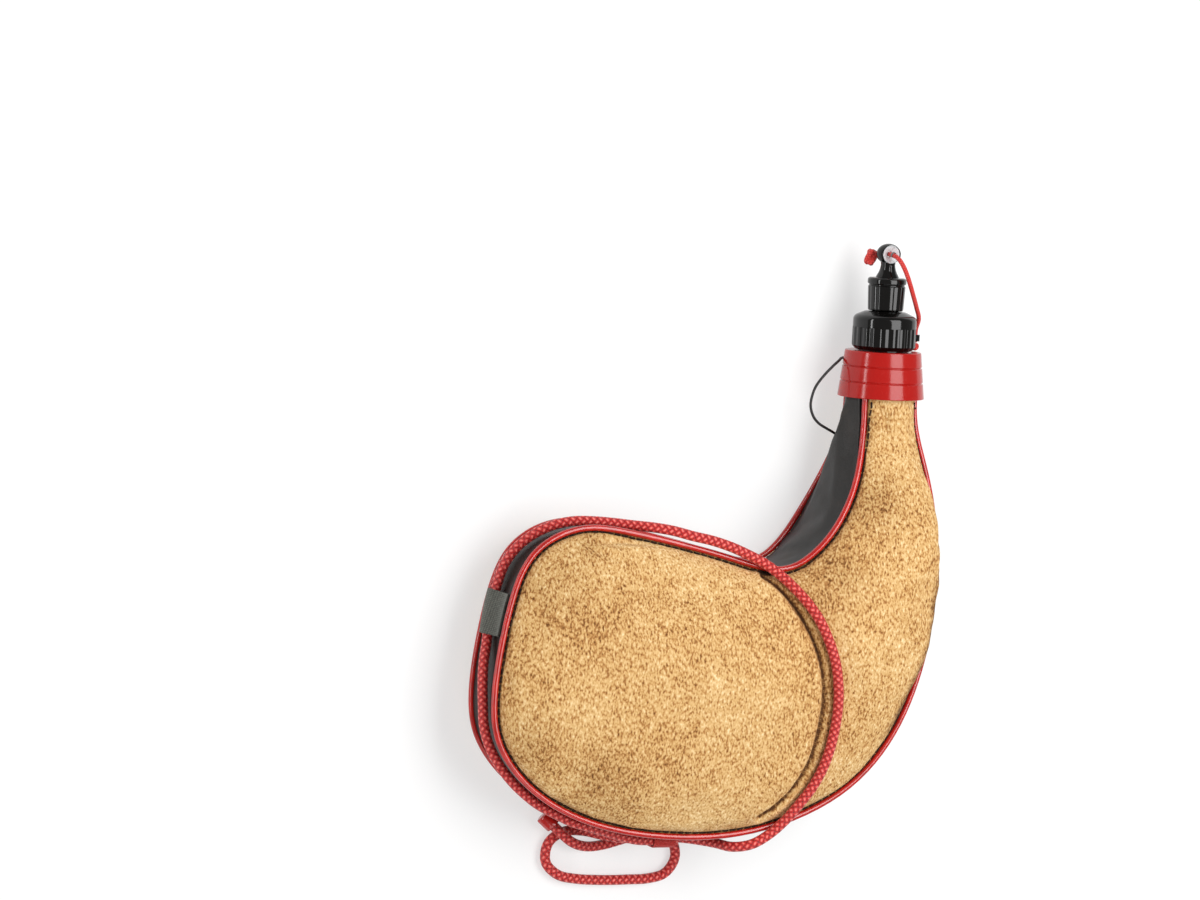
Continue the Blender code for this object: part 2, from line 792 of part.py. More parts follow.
def make_filler_cap():
    chamfer = cap_radius - cap_foot_radius
    profile = [
        (cap_foot_radius, cap_foot, 0.0),
        (cap_radius - cap_rib_depth, cap_foot + chamfer - cap_rib_depth, 0.0),
        (cap_radius, cap_foot + chamfer, 1.0), (cap_radius, cap_skirt_top - cap_rib_depth, 1.0),
        (cap_radius, cap_skirt_top, 0.0), (cap_shoulder_radius, cap_shoulder_top, 0.0),
        (spout_radius, cap_shoulder_top, 0.0), (spout_radius, spout_top - spout_bore_radius / 2, 0.0),
        (spout_radius - spout_bore_radius / 2, spout_top, 0.0), (spout_seat_radius, spout_top, 0.0),
        (spout_seat_radius, spout_top - spout_seat_depth, 0.0),
        (spout_bore_radius, spout_top - spout_seat_depth, 0.0), (spout_bore_radius, cap_roof, 0.0),
        (cap_bore_radius, cap_roof, 0.0), (cap_bore_radius, cap_foot, 0.0),
    ]
    piece = turned(
        "filler_cap", profile, cap_rib_count * rib_steps, black_plastic, cap_rib_count, cap_rib_depth,
    )
    centre = (lug_root + lug_reach) / 2
    along = Vector((math.cos(lug_angle), 0, math.sin(lug_angle)))
    across = Vector((-math.sin(lug_angle), 0, math.cos(lug_angle)))
    base = Vector((0, lug_foot, 0))
    outline = []
    for step in range(lug_sides + 1):
        angle = -circle_quarter + half_turn * step / lug_sides
        round_end = along * (lug_hole_reach + math.cos(angle) * (lug_reach - lug_hole_reach))
        outline.append(round_end + across * math.sin(angle) * lug_width / 2)
    outline.append(along * lug_root + across * lug_width / 2)
    outline.append(along * lug_root - across * lug_width / 2)
    rows = []
    for height in (0.0, lug_height):
        rows.append([base + point + Vector((0, height, 0)) for point in outline])
    lug = loft("lug", rows, black_plastic, neck_foot)
    cut(piece, lug, "UNION")
    hole_rows = []
    hole_centre = base + along * lug_hole_reach
    for height in (-lug_height, 2 * lug_height):
        row = []
        for side in range(hole_sides):
            angle = full_turn * side / hole_sides
            offset = Vector((math.cos(angle), 0, math.sin(angle))) * lug_hole_radius
            row.append(hole_centre + offset + Vector((0, height, 0)))
        hole_rows.append(row)
    cut(piece, loft("lug_hole", hole_rows, black_plastic, neck_foot), "DIFFERENCE")
    return piece


filler_cap = make_filler_cap()

gasket_top = cap_roof - piece_gap
filler_gasket = turned("filler_gasket", [
    (gasket_hole_radius, gasket_top - gasket_thickness, 0.0),
    (thread_radius, gasket_top - gasket_thickness, 0.0),
    (thread_radius, gasket_top, 0.0),
    (gasket_hole_radius, gasket_top, 0.0),
], binding_segments, gasket_rubber)

tip_radius = spout_seat_radius - piece_gap
spout_tip = turned("spout_tip", [
    (spout_hole_radius, spout_top - spout_seat_depth + piece_gap, 0.0),
    (tip_radius, spout_top - spout_seat_depth + piece_gap, 0.0),
    (tip_radius, spout_top, 0.0),
    (spout_hole_radius, spout_top, 0.0),
], small_segments, spout_plastic)

seal_top = stopper_roof - piece_gap
seal_foot = seal_top - seal_thickness
seal_radius = stopper_bore_radius - piece_gap
stopper_seal = turned("stopper_seal", [
    (0.0, seal_foot - seal_pin_length, 0.0), (seal_pin_radius, seal_foot - seal_pin_length, 0.0),
    (seal_pin_radius, seal_foot, 0.0), (seal_radius, seal_foot, 0.0), (seal_radius, seal_top, 0.0),
    (0.0, seal_top, 0.0),
], small_segments, gasket_rubber, ring=False)


def make_stopper_cap():
    band_foot = stopper_top - stopper_band
    edge = stopper_rib_depth
    profile = [
        (0.0, stopper_roof, 0.0), (stopper_bore_radius, stopper_roof, 0.0),
        (stopper_bore_radius, stopper_foot, 0.0), (stopper_foot_radius - edge, stopper_foot, 0.0),
        (stopper_foot_radius, stopper_foot + edge, 1.0), (stopper_radius - edge, band_foot - edge, 1.0),
        (stopper_radius - 2 * edge, band_foot, 0.0), (stopper_radius, band_foot + 2 * edge, 0.0),
        (stopper_radius, stopper_top - 2 * edge, 0.0), (stopper_radius - 2 * edge, stopper_top, 0.0),
        (stem_foot_radius, stopper_top, 0.0),
    ]
    for share in stem_shares:
        height = stopper_top + share * (stem_top - stopper_top)
        curve = (1 - share) ** 2
        profile.append((stem_top_radius + (stem_foot_radius - stem_top_radius) * curve, height, 0.0))
    for step in range(knob_rings):
        angle = knob_foot_angle + (half_turn - knob_foot_angle) * (step + 1) / (knob_rings + 1)
        profile.append((knob_radius * math.sin(angle), knob_height - knob_radius * math.cos(angle), 0.0))
    profile.append((0.0, knob_height + knob_radius, 0.0))
    piece = turned(
        "stopper_cap", profile, stopper_rib_count * rib_steps, black_plastic,
        stopper_rib_count, stopper_rib_depth, ring=False,
    )
    rows = []
    for height, radius in (
        (-2 * knob_radius, knob_radius), (-knob_radius, eye_rim_radius), (-eye_radius, eye_radius),
        (eye_radius, eye_radius), (knob_radius, eye_rim_radius), (2 * knob_radius, knob_radius),
    ):
        row = []
        for side in range(eye_sides):
            angle = full_turn * side / eye_sides
            reach = knob_height + radius * math.sin(angle)
            row.append(Vector((radius * math.cos(angle), reach, height)))
        rows.append(row)
    cut(piece, loft("eye", rows, black_plastic, neck_foot), "DIFFERENCE")
    return piece


stopper_cap = make_stopper_cap()


# A cord is a round tube on a smooth curve through its route. Where it lies against
# the bag it is pushed just clear of the surface that it rests on.
def ring_point(share):
    across, along, rise = share
    return (across * bag_width, along * bag_length, mid_height + rise * gusset_half)


def tail_point(share):
    across, along, rise = share
    return (across * bag_width, along * bag_length, rise * mid_height)


carry_ring_route = [ring_point(share) for share in carry_ring_shares]
carry_tail_route = [tail_point(share) for share in carry_tail_shares]


def surface_tree(pieces):
    vertices = []
    faces = []
    for piece in pieces:
        start = len(vertices)
        vertices += [piece.location + vertex.co for vertex in piece.data.vertices]
        faces += [[index + start for index in face.vertices] for face in piece.data.polygons]
    return BVHTree.FromPolygons(vertices, faces)


def evenly(points, step):
    length = sum((b - a).length for a, b in zip(points, points[1:]))
    count = max(2, round(length / step))
    spacing = length / count
    result = [points[0]]
    travelled = 0.0
    for start, end in zip(points, points[1:]):
        piece = (end - start).length
        while len(result) < count and travelled + piece >= spacing * len(result):
            share = (spacing * len(result) - travelled) / piece
            result.append(start.lerp(end, share))
        travelled += piece
    result.append(points[-1])
    return result


def push_clear(point, clear, tree):
    near, normal, face, distance = tree.find_nearest(point)
    if distance < clear:
        return (point - near) * (clear / distance - 1)
    return Vector()


def cord_points(route, radius, origin, tree):
    smooth = [Vector(point) + origin for point in smooth_through(route, route_steps)]
    points = evenly(smooth, cord_step_diameters * 2 * radius)
    if tree is None:
        return points
    for settling in range(settle_steps):
        for index in range(len(points) - 1):
            for share in settle_shares:
                spot = points[index].lerp(points[index + 1], share)
                push = push_clear(spot, radius + cord_rest, tree)
                points[index] = points[index] + push * (1 - share)
                points[index + 1] = points[index + 1] + push * share
    return points


def lay_cord(name, route, radius, material, origin=Vector(), resting_on=None):
    points = cord_points(route, radius, origin, resting_on)
    curve = bpy.data.curves.new(name, "CURVE")
    curve.dimensions = "3D"
    curve.bevel_depth = radius
    curve.bevel_resolution = cord_bevel_steps
    curve.use_fill_caps = True
    spline = curve.splines.new("POLY")
    spline.points.add(len(points) - 1)
    for target, point in zip(spline.points, points):
        target.co = (point.x, point.y, point.z, 1.0)
    curve.materials.append(material)
    cord = bpy.data.objects.new(name, curve)
    bpy.context.scene.collection.objects.link(cord)
    return cord


bag_surface = surface_tree([
    front_panel, back_panel, gusset_inner, gusset_outer, front_piping, back_piping,
])
carry_cord_ring = lay_cord(
    "carry_cord_ring", carry_ring_route, cord_radius, cord_braid, resting_on=bag_surface,
)
carry_cord_tail = lay_cord(
    "carry_cord_tail", carry_tail_route, cord_radius, cord_braid, resting_on=bag_surface,
)
tether = lay_cord("tether", tether_route, tether_radius, cord_braid, neck_foot)
neck_loop = lay_cord("neck_loop", neck_loop_route, loop_cord_radius, elastic_cord, neck_foot)


# Webbing band over the gusset, with a hump where the cord passes under it.
def make_keeper():
    first = (len(inner_rows) + keeper_row_count) * smooth_steps
    hump = 2 * cord_radius + keeper_play
    rows = []
    for row_share, cord_share in zip(keeper_row_shares, keeper_cord_shares):
        place = first + row_share * smooth_steps
        station = int(place)
        across = [keeper_span_shares[0]]
        across += [cord_share + offset for offset in hump_offset_shares]
        across.append(keeper_span_shares[1])
        heights = [0.0] + hump_height_shares + [0.0]
        section = []
        for lift in (0.0, keeper_thickness):
            line = []
            for share, height in zip(across, heights):
                depth = -(piece_gap + hump * height + lift)
                here = gusset_point(station, share, depth)
                there = gusset_point(station + 1, share, depth)
                line.append(here.lerp(there, place - station))
            section += line if lift == 0.0 else line[::-1]
        rows.append(section)
    return loft("cord_keeper", rows, webbing)


cord_keeper = make_keeper()


def circle_row(centre, across, up, radius, sides):
    row = []
    for side in range(sides):
        angle = full_turn * side / sides
        row.append(centre + across * (math.cos(angle) * radius) + up * (math.sin(angle) * radius))
    return row


# Thread whipping that closes the noose: it holds the ring's end beside the strand.
def make_whipping():
    upper = Vector(carry_ring_route[0])
    lower = Vector(carry_ring_route[-1])
    rows = []
    inner = cord_radius + holder_play
    outer = inner + whipping_thickness
    whipping_end = upper.x + whipping_cover
    whipping_start = whipping_end - whipping_length
    for x, radius in (
        (whipping_start, outer), (whipping_end, outer), (whipping_end, inner), (whipping_start, inner),
    ):
        row = []
        for side in range(cord_sides + 2):
            top = side <= cord_sides // 2
            turn = side if top else side - 1
            angle = full_turn * turn / cord_sides
            centre = upper if top else lower
            y = centre.y + math.cos(angle) * radius
            z = centre.z + math.sin(angle) * radius
            row.append(Vector((x, y, z)))
        rows.append(row)
    return loft("cord_whipping", rows, cord_braid, closed=True)


cord_whipping = make_whipping()


# Leather cup sewn to the back seam, which takes the end of the loop.
def make_anchor():
    end = Vector(carry_tail_route[-1])
    along = (end - Vector(carry_tail_route[-2])).normalized()
    across = along.cross(Vector((0, 0, 1))).normalized()
    up = across.cross(along)
    inner = cord_radius + holder_play
    outer = inner + anchor_thickness
    floor = end + along * piece_gap
    mouth = end - along * (anchor_length - piece_gap - anchor_thickness)
    back = floor + along * anchor_thickness
    rows = []
    for centre, radius in ((floor, inner), (mouth, inner), (mouth, outer), (back, outer)):
        rows.append(circle_row(centre, across, up, radius, cord_sides + 2))
    return loft("cord_anchor", rows, gusset_leather)


cord_anchor = make_anchor()


def make_knot(name, centre, along, across, radius, length):
    up = across.cross(along)
    rows = []
    for height_share, radius_share in zip(knot_height_shares, knot_radius_shares):
        middle = centre + along * (height_share - circle_offset) * length
        rows.append(circle_row(middle, across, up, radius * radius_share, cord_sides))
    return loft(name, rows, cord_braid)


end_axis = Vector((0, 1, 0))
knot_across = Vector((1, 0, 0))
tether_top = Vector(tether_route[0])
tether_knot = make_knot(
    "tether_knot",
    neck_foot + tether_top - knot_across * (knot_radius + knot_gap),
    end_axis, knot_across, knot_radius, knot_length,
)
tether_foot = Vector(tether_route[-1])
tether_end_knot = make_knot(
    "tether_end_knot",
    neck_foot + tether_foot - end_axis * (end_knot_length * circle_offset + piece_gap),
    end_axis, knot_across, end_knot_radius, end_knot_length,
)
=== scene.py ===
# %% [markdown]
# A leather bota bag
#
# The real object is a drinking bag for wine or water. Two suede panels and a dark
# leather gusset are sewn together over a bladder, a bead of red plastic fills each
# seam, and the neck is tied onto a moulded fitting with a filler cap and a stopper.
# The solids come as a fixed frame, and this lesson gives each one its real surface.

import math

import bmesh
import bpy
from mathutils import Matrix, Vector, noise
from mathutils.bvhtree import BVHTree
from mathutils.kdtree import KDTree


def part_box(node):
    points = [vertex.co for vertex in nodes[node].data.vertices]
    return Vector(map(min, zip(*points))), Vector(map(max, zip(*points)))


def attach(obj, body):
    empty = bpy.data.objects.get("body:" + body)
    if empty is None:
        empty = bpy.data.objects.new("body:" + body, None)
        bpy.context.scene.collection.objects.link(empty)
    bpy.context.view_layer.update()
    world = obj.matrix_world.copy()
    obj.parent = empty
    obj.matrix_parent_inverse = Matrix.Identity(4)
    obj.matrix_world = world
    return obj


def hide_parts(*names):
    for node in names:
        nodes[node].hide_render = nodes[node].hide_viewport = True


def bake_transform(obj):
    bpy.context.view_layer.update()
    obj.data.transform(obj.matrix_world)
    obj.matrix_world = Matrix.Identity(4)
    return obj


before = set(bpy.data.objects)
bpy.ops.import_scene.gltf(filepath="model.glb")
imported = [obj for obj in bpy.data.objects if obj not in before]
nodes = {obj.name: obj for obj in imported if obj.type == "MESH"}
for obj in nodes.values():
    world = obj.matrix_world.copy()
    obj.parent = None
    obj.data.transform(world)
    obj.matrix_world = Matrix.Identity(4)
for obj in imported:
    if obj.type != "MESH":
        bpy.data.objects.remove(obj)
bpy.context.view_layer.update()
bag = "bag"
print("nodes in the frame:", len(nodes))

# %% [markdown]
# Selection comes first. An operator works on all that is selected, and the frame
# arrives selected, so one helper clears the selection and picks one piece.

# %% Helpers for pieces
full_turn = 2 * math.pi
mm = 0.001


def deselect_all():
    for other in bpy.context.selected_objects:
        other.select_set(False)


def pick(piece):
    deselect_all()
    piece.select_set(True)
    bpy.context.view_layer.objects.active = piece


def apply_modifiers(piece):
    pick(piece)
    for modifier in list(piece.modifiers):
        bpy.ops.object.modifier_apply(modifier=modifier.name)


def smooth_shade(piece, degrees=38):
    pick(piece)
    bpy.ops.object.shade_smooth_by_angle(angle=math.radians(degrees))


def set_in_mesh(piece):
    pick(piece)
    bpy.ops.object.transform_apply(location=True, rotation=True, scale=True)


def new_mesh(name, vertices, faces):
    mesh = bpy.data.meshes.new(name)
    mesh.from_pydata([tuple(vertex) for vertex in vertices], [], faces)
    mesh.update()
    piece = bpy.data.objects.new(name, mesh)
    bpy.context.scene.collection.objects.link(piece)
    return piece


def dress(piece, material, body, slot, *replaced):
    piece.data.materials.clear()
    piece.data.materials.append(material)
    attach(piece, body)
    if replaced:
        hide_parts(*replaced)
    print(piece.name, "faces", len(piece.data.polygons))


deselect_all()

# %% [markdown]
# Every finish is a small graph of nodes. One function turns a written colour into
# linear light, and one adds a node with its settings and its links.

# %% Helpers for materials


def linear(code):
    channels = []
    for start in (0, 2, 4):
        value = int(code[start:start + 2], 16) / 255
        if value <= 0.04045:
            channels.append(value / 12.92)
        else:
            channels.append(((value + 0.055) / 1.055) ** 2.4)
    return (*channels, 1.0)


def start_material(name):
    material = bpy.data.materials.new(name)
    material.use_nodes = True
    tree = material.node_tree
    tree.nodes.clear()
    shader = tree.nodes.new("ShaderNodeBsdfPrincipled")
    output = tree.nodes.new("ShaderNodeOutputMaterial")
    tree.links.new(shader.outputs["BSDF"], output.inputs["Surface"])
    return material, tree, shader


def add_node(tree, kind, settings=None, sockets=None):
    node = tree.nodes.new("ShaderNode" + kind)
    for key, value in (settings or {}).items():
        setattr(node, key, value)
    for key, value in (sockets or {}).items():
        if isinstance(value, bpy.types.NodeSocket):
            tree.links.new(value, node.inputs[key])
        else:
            node.inputs[key].default_value = value
    return node


def set_stops(ramp, stops):
    elements = ramp.color_ramp.elements
    while len(elements) < len(stops):
        elements.new(0.5)
    for element, (place, colour) in zip(elements, stops):
        element.position = place
        element.color = colour if len(colour) == 4 else linear(colour)


def finish_shader(tree, shader, **values):
    for key, value in values.items():
        socket = shader.inputs[key.replace("_", " ")]
        if isinstance(value, bpy.types.NodeSocket):
            tree.links.new(value, socket)
        else:
            socket.default_value = value

# %% [markdown]
# The studio is plain: one pale floor, a pale world, and soft lamps. The highlights on
# the fitting tell where the lamps stood: a broad strip high on the right and a thin
# one low on the left. The camera stands far off with a long lens, above and to the
# left, as the shapes in the photograph tell.

# %% Camera
neck_foot = Vector((0.12504, 0.150064, 0.027))
turn = math.radians(24)
tilt = math.radians(5)
roll = math.radians(3)
photo_width = 1200
photo_height = 900
pixel = 0.516 * mm
neck_pixel = (880.5, 397)
lens = 150
sensor = 36

towards = Vector((
    -math.sin(turn) * math.cos(tilt), math.sin(tilt), math.cos(turn) * math.cos(tilt),
))
level = Vector((math.cos(turn), 0, math.sin(turn)))
upright = towards.cross(level)
camera_right = level * math.cos(roll) + upright * math.sin(roll)
camera_up = upright * math.cos(roll) - level * math.sin(roll)
centre = neck_foot
centre = centre + camera_right * ((photo_width / 2 - neck_pixel[0]) * pixel)
centre = centre + camera_up * ((neck_pixel[1] - photo_height / 2) * pixel)
distance = photo_width * pixel * lens / sensor

camera_data = bpy.data.cameras.new("camera")
camera_data.lens = lens
camera_data.sensor_width = sensor
camera_data.clip_end = 20
camera = bpy.data.objects.new("camera", camera_data)
bpy.context.scene.collection.objects.link(camera)
axes = Matrix((camera_right, camera_up, towards)).transposed()
camera.matrix_world = Matrix.Translation(centre + towards * distance) @ axes.to_4x4()
bpy.context.scene.camera = camera
bpy.context.scene.view_settings.view_transform = "Standard"
print("camera distance", round(distance, 3))

# %% Floor
floor_low = -0.6 * mm
floor_size = 8
shadow_share = 0.45

white_floor, tree, shader = start_material("white_paper_floor")
rays = add_node(tree, "LightPath")
paper = add_node(tree, "BsdfDiffuse", sockets={"Color": linear("f4f4f4")})
bright = add_node(tree, "Emission", sockets={"Color": linear("ffffff"), "Strength": 1.0})
plain_rays = add_node(tree, "Math", {"operation": "ADD", "use_clamp": True}, {
    0: rays.outputs["Is Camera Ray"], 1: rays.outputs["Is Glossy Ray"],
})
white_rays = add_node(tree, "Math", {"operation": "ADD", "use_clamp": True}, {
    0: plain_rays.outputs[0], 1: rays.outputs["Is Transmission Ray"],
})
seen = add_node(tree, "MixShader", sockets={
    0: white_rays.outputs[0], 1: paper.outputs[0], 2: bright.outputs[0],
})
output = next(node for node in tree.nodes if node.type == "OUTPUT_MATERIAL")
tree.nodes.remove(shader)
shadowed = add_node(tree, "MixShader", sockets={
    0: shadow_share, 1: seen.outputs[0], 2: paper.outputs[0],
})
tree.links.new(shadowed.outputs[0], output.inputs["Surface"])

bpy.ops.mesh.primitive_plane_add(size=floor_size, location=(0, 0, floor_low))
floor = bpy.context.active_object
floor.name = "floor"
floor.data.materials.append(white_floor)
print("floor at", floor_low)

# %% World
world_strength = 0.33

world = bpy.data.worlds.new("studio")
bpy.context.scene.world = world
world.use_nodes = True
background = world.node_tree.nodes["Background"]
background.inputs["Color"].default_value = linear("f4f4f2")
background.inputs["Strength"].default_value = world_strength
print("world strength", world_strength)

# %% Lamps
bag_middle = Vector((0.05, 0.06, 0.04))


def add_lamp(name, around, height, reach, wide, long, power):
    data = bpy.data.lights.new(name, "AREA")
    data.shape = "RECTANGLE"
    data.size = wide
    data.size_y = long
    data.energy = power
    lamp = bpy.data.objects.new(name, data)
    bpy.context.scene.collection.objects.link(lamp)
    angle = math.radians(around)
    place = Vector((math.sin(angle) * reach, height, math.cos(angle) * reach))
    back = place.normalized()
    along = (Vector((0, 1, 0)) - back * back.y).normalized()
    facing = Matrix((along.cross(back), along, back)).transposed()
    lamp.matrix_world = Matrix.Translation(bag_middle + place) @ facing.to_4x4()
    print(name, "power", power)


add_lamp("key_strip", around=20, height=0.25, reach=0.95, wide=0.62, long=1.1, power=12.0)
add_lamp("side_strip", around=-74, height=0.15, reach=0.95, wide=0.1, long=1.1, power=3.6)
add_lamp("soft_fill", around=-20, height=-0.9, reach=0.8, wide=0.8, long=0.8, power=2.6)

# %% [markdown]
# Every cord on the bag follows a line through a few chosen points. A curve through
# them all gives the bends, even steps along it give a tube with square faces, and
# the line is then pushed out of whatever it rests on, as a real cord would be.

# %% Helpers for lines


def smooth_through(points, steps):
    points = [Vector(point) for point in points]
    last = len(points) - 1
    result = []
    for index in range(last):
        before = points[max(index - 1, 0)]
        start = points[index]
        end = points[index + 1]
        after = points[min(index + 2, last)]
        for step in range(steps):
            t = step / steps
            bend = (2 * before - 5 * start + 4 * end - after) * (t * t / 2)
            bend = bend + (3 * start - before - 3 * end + after) * (t * t * t / 2)
            result.append(start + (end - before) * (t / 2) + bend)
    result.append(points[-1].copy())
    return result


def length_of(points):
    return sum((b - a).length for a, b in zip(points, points[1:]))


def evenly(points, step):
    length = length_of(points)
    count = max(2, round(length / step))
    spacing = length / count
    result = [points[0].copy()]
    travelled = 0.0
    for start, end in zip(points, points[1:]):
        piece = (end - start).length
        while len(result) < count and travelled + piece >= spacing * len(result):
            result.append(start.lerp(end, (spacing * len(result) - travelled) / piece))
        travelled += piece
    result.append(points[-1].copy())
    return result


def surface_of(*names):
    vertices = []
    faces = []
    for name in names:
        start = len(vertices)
        mesh = nodes[name].data
        vertices += [vertex.co.copy() for vertex in mesh.vertices]
        faces += [[index + start for index in face.vertices] for face in mesh.polygons]
    return BVHTree.FromPolygons(vertices, faces)


def settle(points, clear, surface, passes=6):
    for settling in range(passes):
        for index in range(len(points) - 1):
            for share in (0.0, 0.25, 0.5, 0.75, 1.0):
                spot = points[index].lerp(points[index + 1], share)
                near, normal, face, gap = surface.find_nearest(spot)
                if gap < clear:
                    push = (spot - near) * (clear / gap - 1)
                    points[index] = points[index] + push * (1 - share)
                    points[index + 1] = points[index + 1] + push * share
    return points


def sweep(name, path, radius, sides, radii=None):
    last = len(path) - 1
    vertices = []
    travelled = [0.0]
    across = None
    for index, point in enumerate(path):
        along = (path[min(index + 1, last)] - path[max(index - 1, 0)]).normalized()
        if across is None:
            across = along.orthogonal().normalized()
        across = (across - along * across.dot(along)).normalized()
        up = along.cross(across)
        if index:
            travelled.append(travelled[-1] + (point - path[index - 1]).length)
        reach = radii[index] if radii else radius
        for side in range(sides):
            angle = full_turn * side / sides
            vertices.append(point + (across * math.cos(angle) + up * math.sin(angle)) * reach)
    faces = []
    maps = []
    for index in range(last):
        for side in range(sides):
            other = (side + 1) % sides
            faces.append([
                index * sides + side, index * sides + other,
                (index + 1) * sides + other, (index + 1) * sides + side,
            ])
            maps += [
                (travelled[index], side / sides), (travelled[index], (side + 1) / sides),
                (travelled[index + 1], (side + 1) / sides), (travelled[index + 1], side / sides),
            ]
    for ring in (range(sides - 1, -1, -1), range(last * sides, (last + 1) * sides)):
        faces.append(list(ring))
        maps += [(0.0, 0.5)] * sides
    piece = new_mesh(name, vertices, faces)
    layer = piece.data.uv_layers.new(name="along_the_cord")
    for place, value in zip(layer.data, maps):
        place.uv = value
    smooth_shade(piece, 60)
    return piece

# %% [markdown]
# The carry cord is a braided polyester cord of about five millimetres. Its tube gets a
# map whose first number is the length along it, so the strands can be drawn as two sets
# of spirals that cross. At each crossing one strand lies on top, and it shows as a
# short slanted lozenge. Its colour has a painted highlight, paler where the strand stands
# highest, and painted shade, darker in the gaps between the strands.

# %% Braid
strand_pitch = 14 * mm
fine_strand_pitch = 5 * mm


def make_braid(name, code, gap_shade_code, top_highlight_code, pairs, pitch, bump):
    material, tree, shader = start_material(name)
    place = add_node(tree, "UVMap", {"uv_map": "along_the_cord"})
    split = add_node(tree, "SeparateXYZ", sockets={0: place.outputs[0]})
    turns = add_node(tree, "Math", {"operation": "DIVIDE"}, {0: split.outputs[0], 1: pitch})
    waves = []
    for direction in (1, -1):
        lead = add_node(tree, "Math", {"operation": "MULTIPLY"}, {
            0: turns.outputs[0], 1: direction,
        })
        phase = add_node(tree, "Math", {"operation": "ADD"}, {
            0: split.outputs[1], 1: lead.outputs[0],
        })
        waves.append(add_node(tree, "Math", {"operation": "MULTIPLY"}, {
            0: phase.outputs[0], 1: pairs,
        }))
    ridges = []
    for wave in waves:
        half = add_node(tree, "Math", {"operation": "MULTIPLY"}, {0: wave.outputs[0], 1: math.pi})
        sine = add_node(tree, "Math", {"operation": "SINE"}, {0: half.outputs[0]})
        ridges.append(add_node(tree, "Math", {"operation": "ABSOLUTE"}, {0: sine.outputs[0]}))
    cells = []
    for wave in waves:
        cells.append(add_node(tree, "Math", {"operation": "FLOOR"}, {0: wave.outputs[0]}))
    both = add_node(tree, "Math", {"operation": "ADD"}, {
        0: cells[0].outputs[0], 1: cells[1].outputs[0],
    })
    on_top = add_node(tree, "Math", {"operation": "PINGPONG"}, {0: both.outputs[0], 1: 1.0})
    wide = add_node(tree, "Mix", {"data_type": "FLOAT"}, {
        0: on_top.outputs[0], 2: ridges[0].outputs[0], 3: ridges[1].outputs[0],
    })
    long = add_node(tree, "Mix", {"data_type": "FLOAT"}, {
        0: on_top.outputs[0], 2: ridges[1].outputs[0], 3: ridges[0].outputs[0],
    })
    ends = add_node(tree, "Math", {"operation": "POWER"}, {0: long.outputs[0], 1: 0.3})
    height = add_node(tree, "Math", {"operation": "MULTIPLY"}, {
        0: wide.outputs[0], 1: ends.outputs[0],
    })
    # Painted light: the top of each strand gets a painted highlight, the gaps between strands get
    # painted shade.
    coloured = add_node(tree, "ValToRGB", sockets={"Fac": height.outputs[0]})
    set_stops(coloured, [(0.10, gap_shade_code), (0.38, code), (0.72, code), (1.0, top_highlight_code)])
    lift = add_node(tree, "Bump", sockets={
        "Height": height.outputs[0], "Strength": 0.8, "Distance": bump,
    })
    finish_shader(
        tree, shader, Base_Color=coloured.outputs["Color"], Roughness=0.5, Normal=lift.outputs[0],
        Sheen_Weight=0.2, Sheen_Roughness=0.4,
    )
    return material


red_braid = make_braid(
    "braided_polyester_cord", code="c01a17", gap_shade_code="7c0c0e", top_highlight_code="ee7a70",
    pairs=4, pitch=strand_pitch, bump=0.45 * mm,
)
fine_braid = make_braid(
    "fine_braided_cord", code="cf211a", gap_shade_code="8c140f", top_highlight_code="dd4a3c",
    pairs=4, pitch=fine_strand_pitch, bump=0.2 * mm,
)
print("braid pitches", strand_pitch, fine_strand_pitch)

# %% [markdown]
# The ring of cord goes once round the bag: along the gusset under the webbing keeper,
# over the seam where the limb meets the lobe, across the front panel and back under
# the gusset to where a whipping holds both ends. Its few points are those that the
# frame's own cord was drawn through, so it is the same ring with a round skin.

# %% Carry cord, the ring
bag_width = 240 * mm
bag_length = 226 * mm
mid_height = 27 * mm
gusset_half = 24 * mm
cord_radius = 2.6 * mm
cord_rest = 0.4 * mm
cord_step = 1.6 * mm
cord_sides = 20

ring_shares = [
    (0.085, -0.350, 0.000), (0.033, -0.350, 0.000), (-0.025, -0.342, 0.125), (-0.133, -0.306, 0.292),
    (-0.196, -0.277, 0.313), (-0.258, -0.237, 0.313), (-0.312, -0.186, 0.313), (-0.352, -0.133, 0.292),
    (-0.374, -0.071, 0.271), (-0.380, -0.009, 0.229), (-0.378, 0.058, 0.146), (-0.363, 0.119, -0.033),
    (-0.354, 0.170, -0.117), (-0.341, 0.226, -0.146), (-0.322, 0.279, -0.146), (-0.288, 0.325, -0.083),
    (-0.242, 0.358, 0.021), (-0.188, 0.373, 0.125), (-0.125, 0.375, 0.250), (-0.062, 0.370, 0.417),
    (-0.013, 0.365, 0.604), (0.050, 0.353, 0.800), (0.125, 0.335, 0.896), (0.204, 0.301, 0.958),
    (0.250, 0.270, 1.083), (0.283, 0.232, 1.346), (0.312, 0.193, 1.525), (0.340, 0.142, 1.646),
    (0.367, 0.066, 1.692), (0.378, -0.013, 1.642), (0.375, -0.097, 1.525), (0.355, -0.187, 1.354),
    (0.316, -0.261, 1.167), (0.275, -0.317, 0.958), (0.229, -0.346, 0.875), (0.195, -0.356, 0.604),
    (0.173, -0.355, 0.208), (0.147, -0.353, -0.092), (0.115, -0.350, -0.233), (0.065, -0.350, -0.250),
]
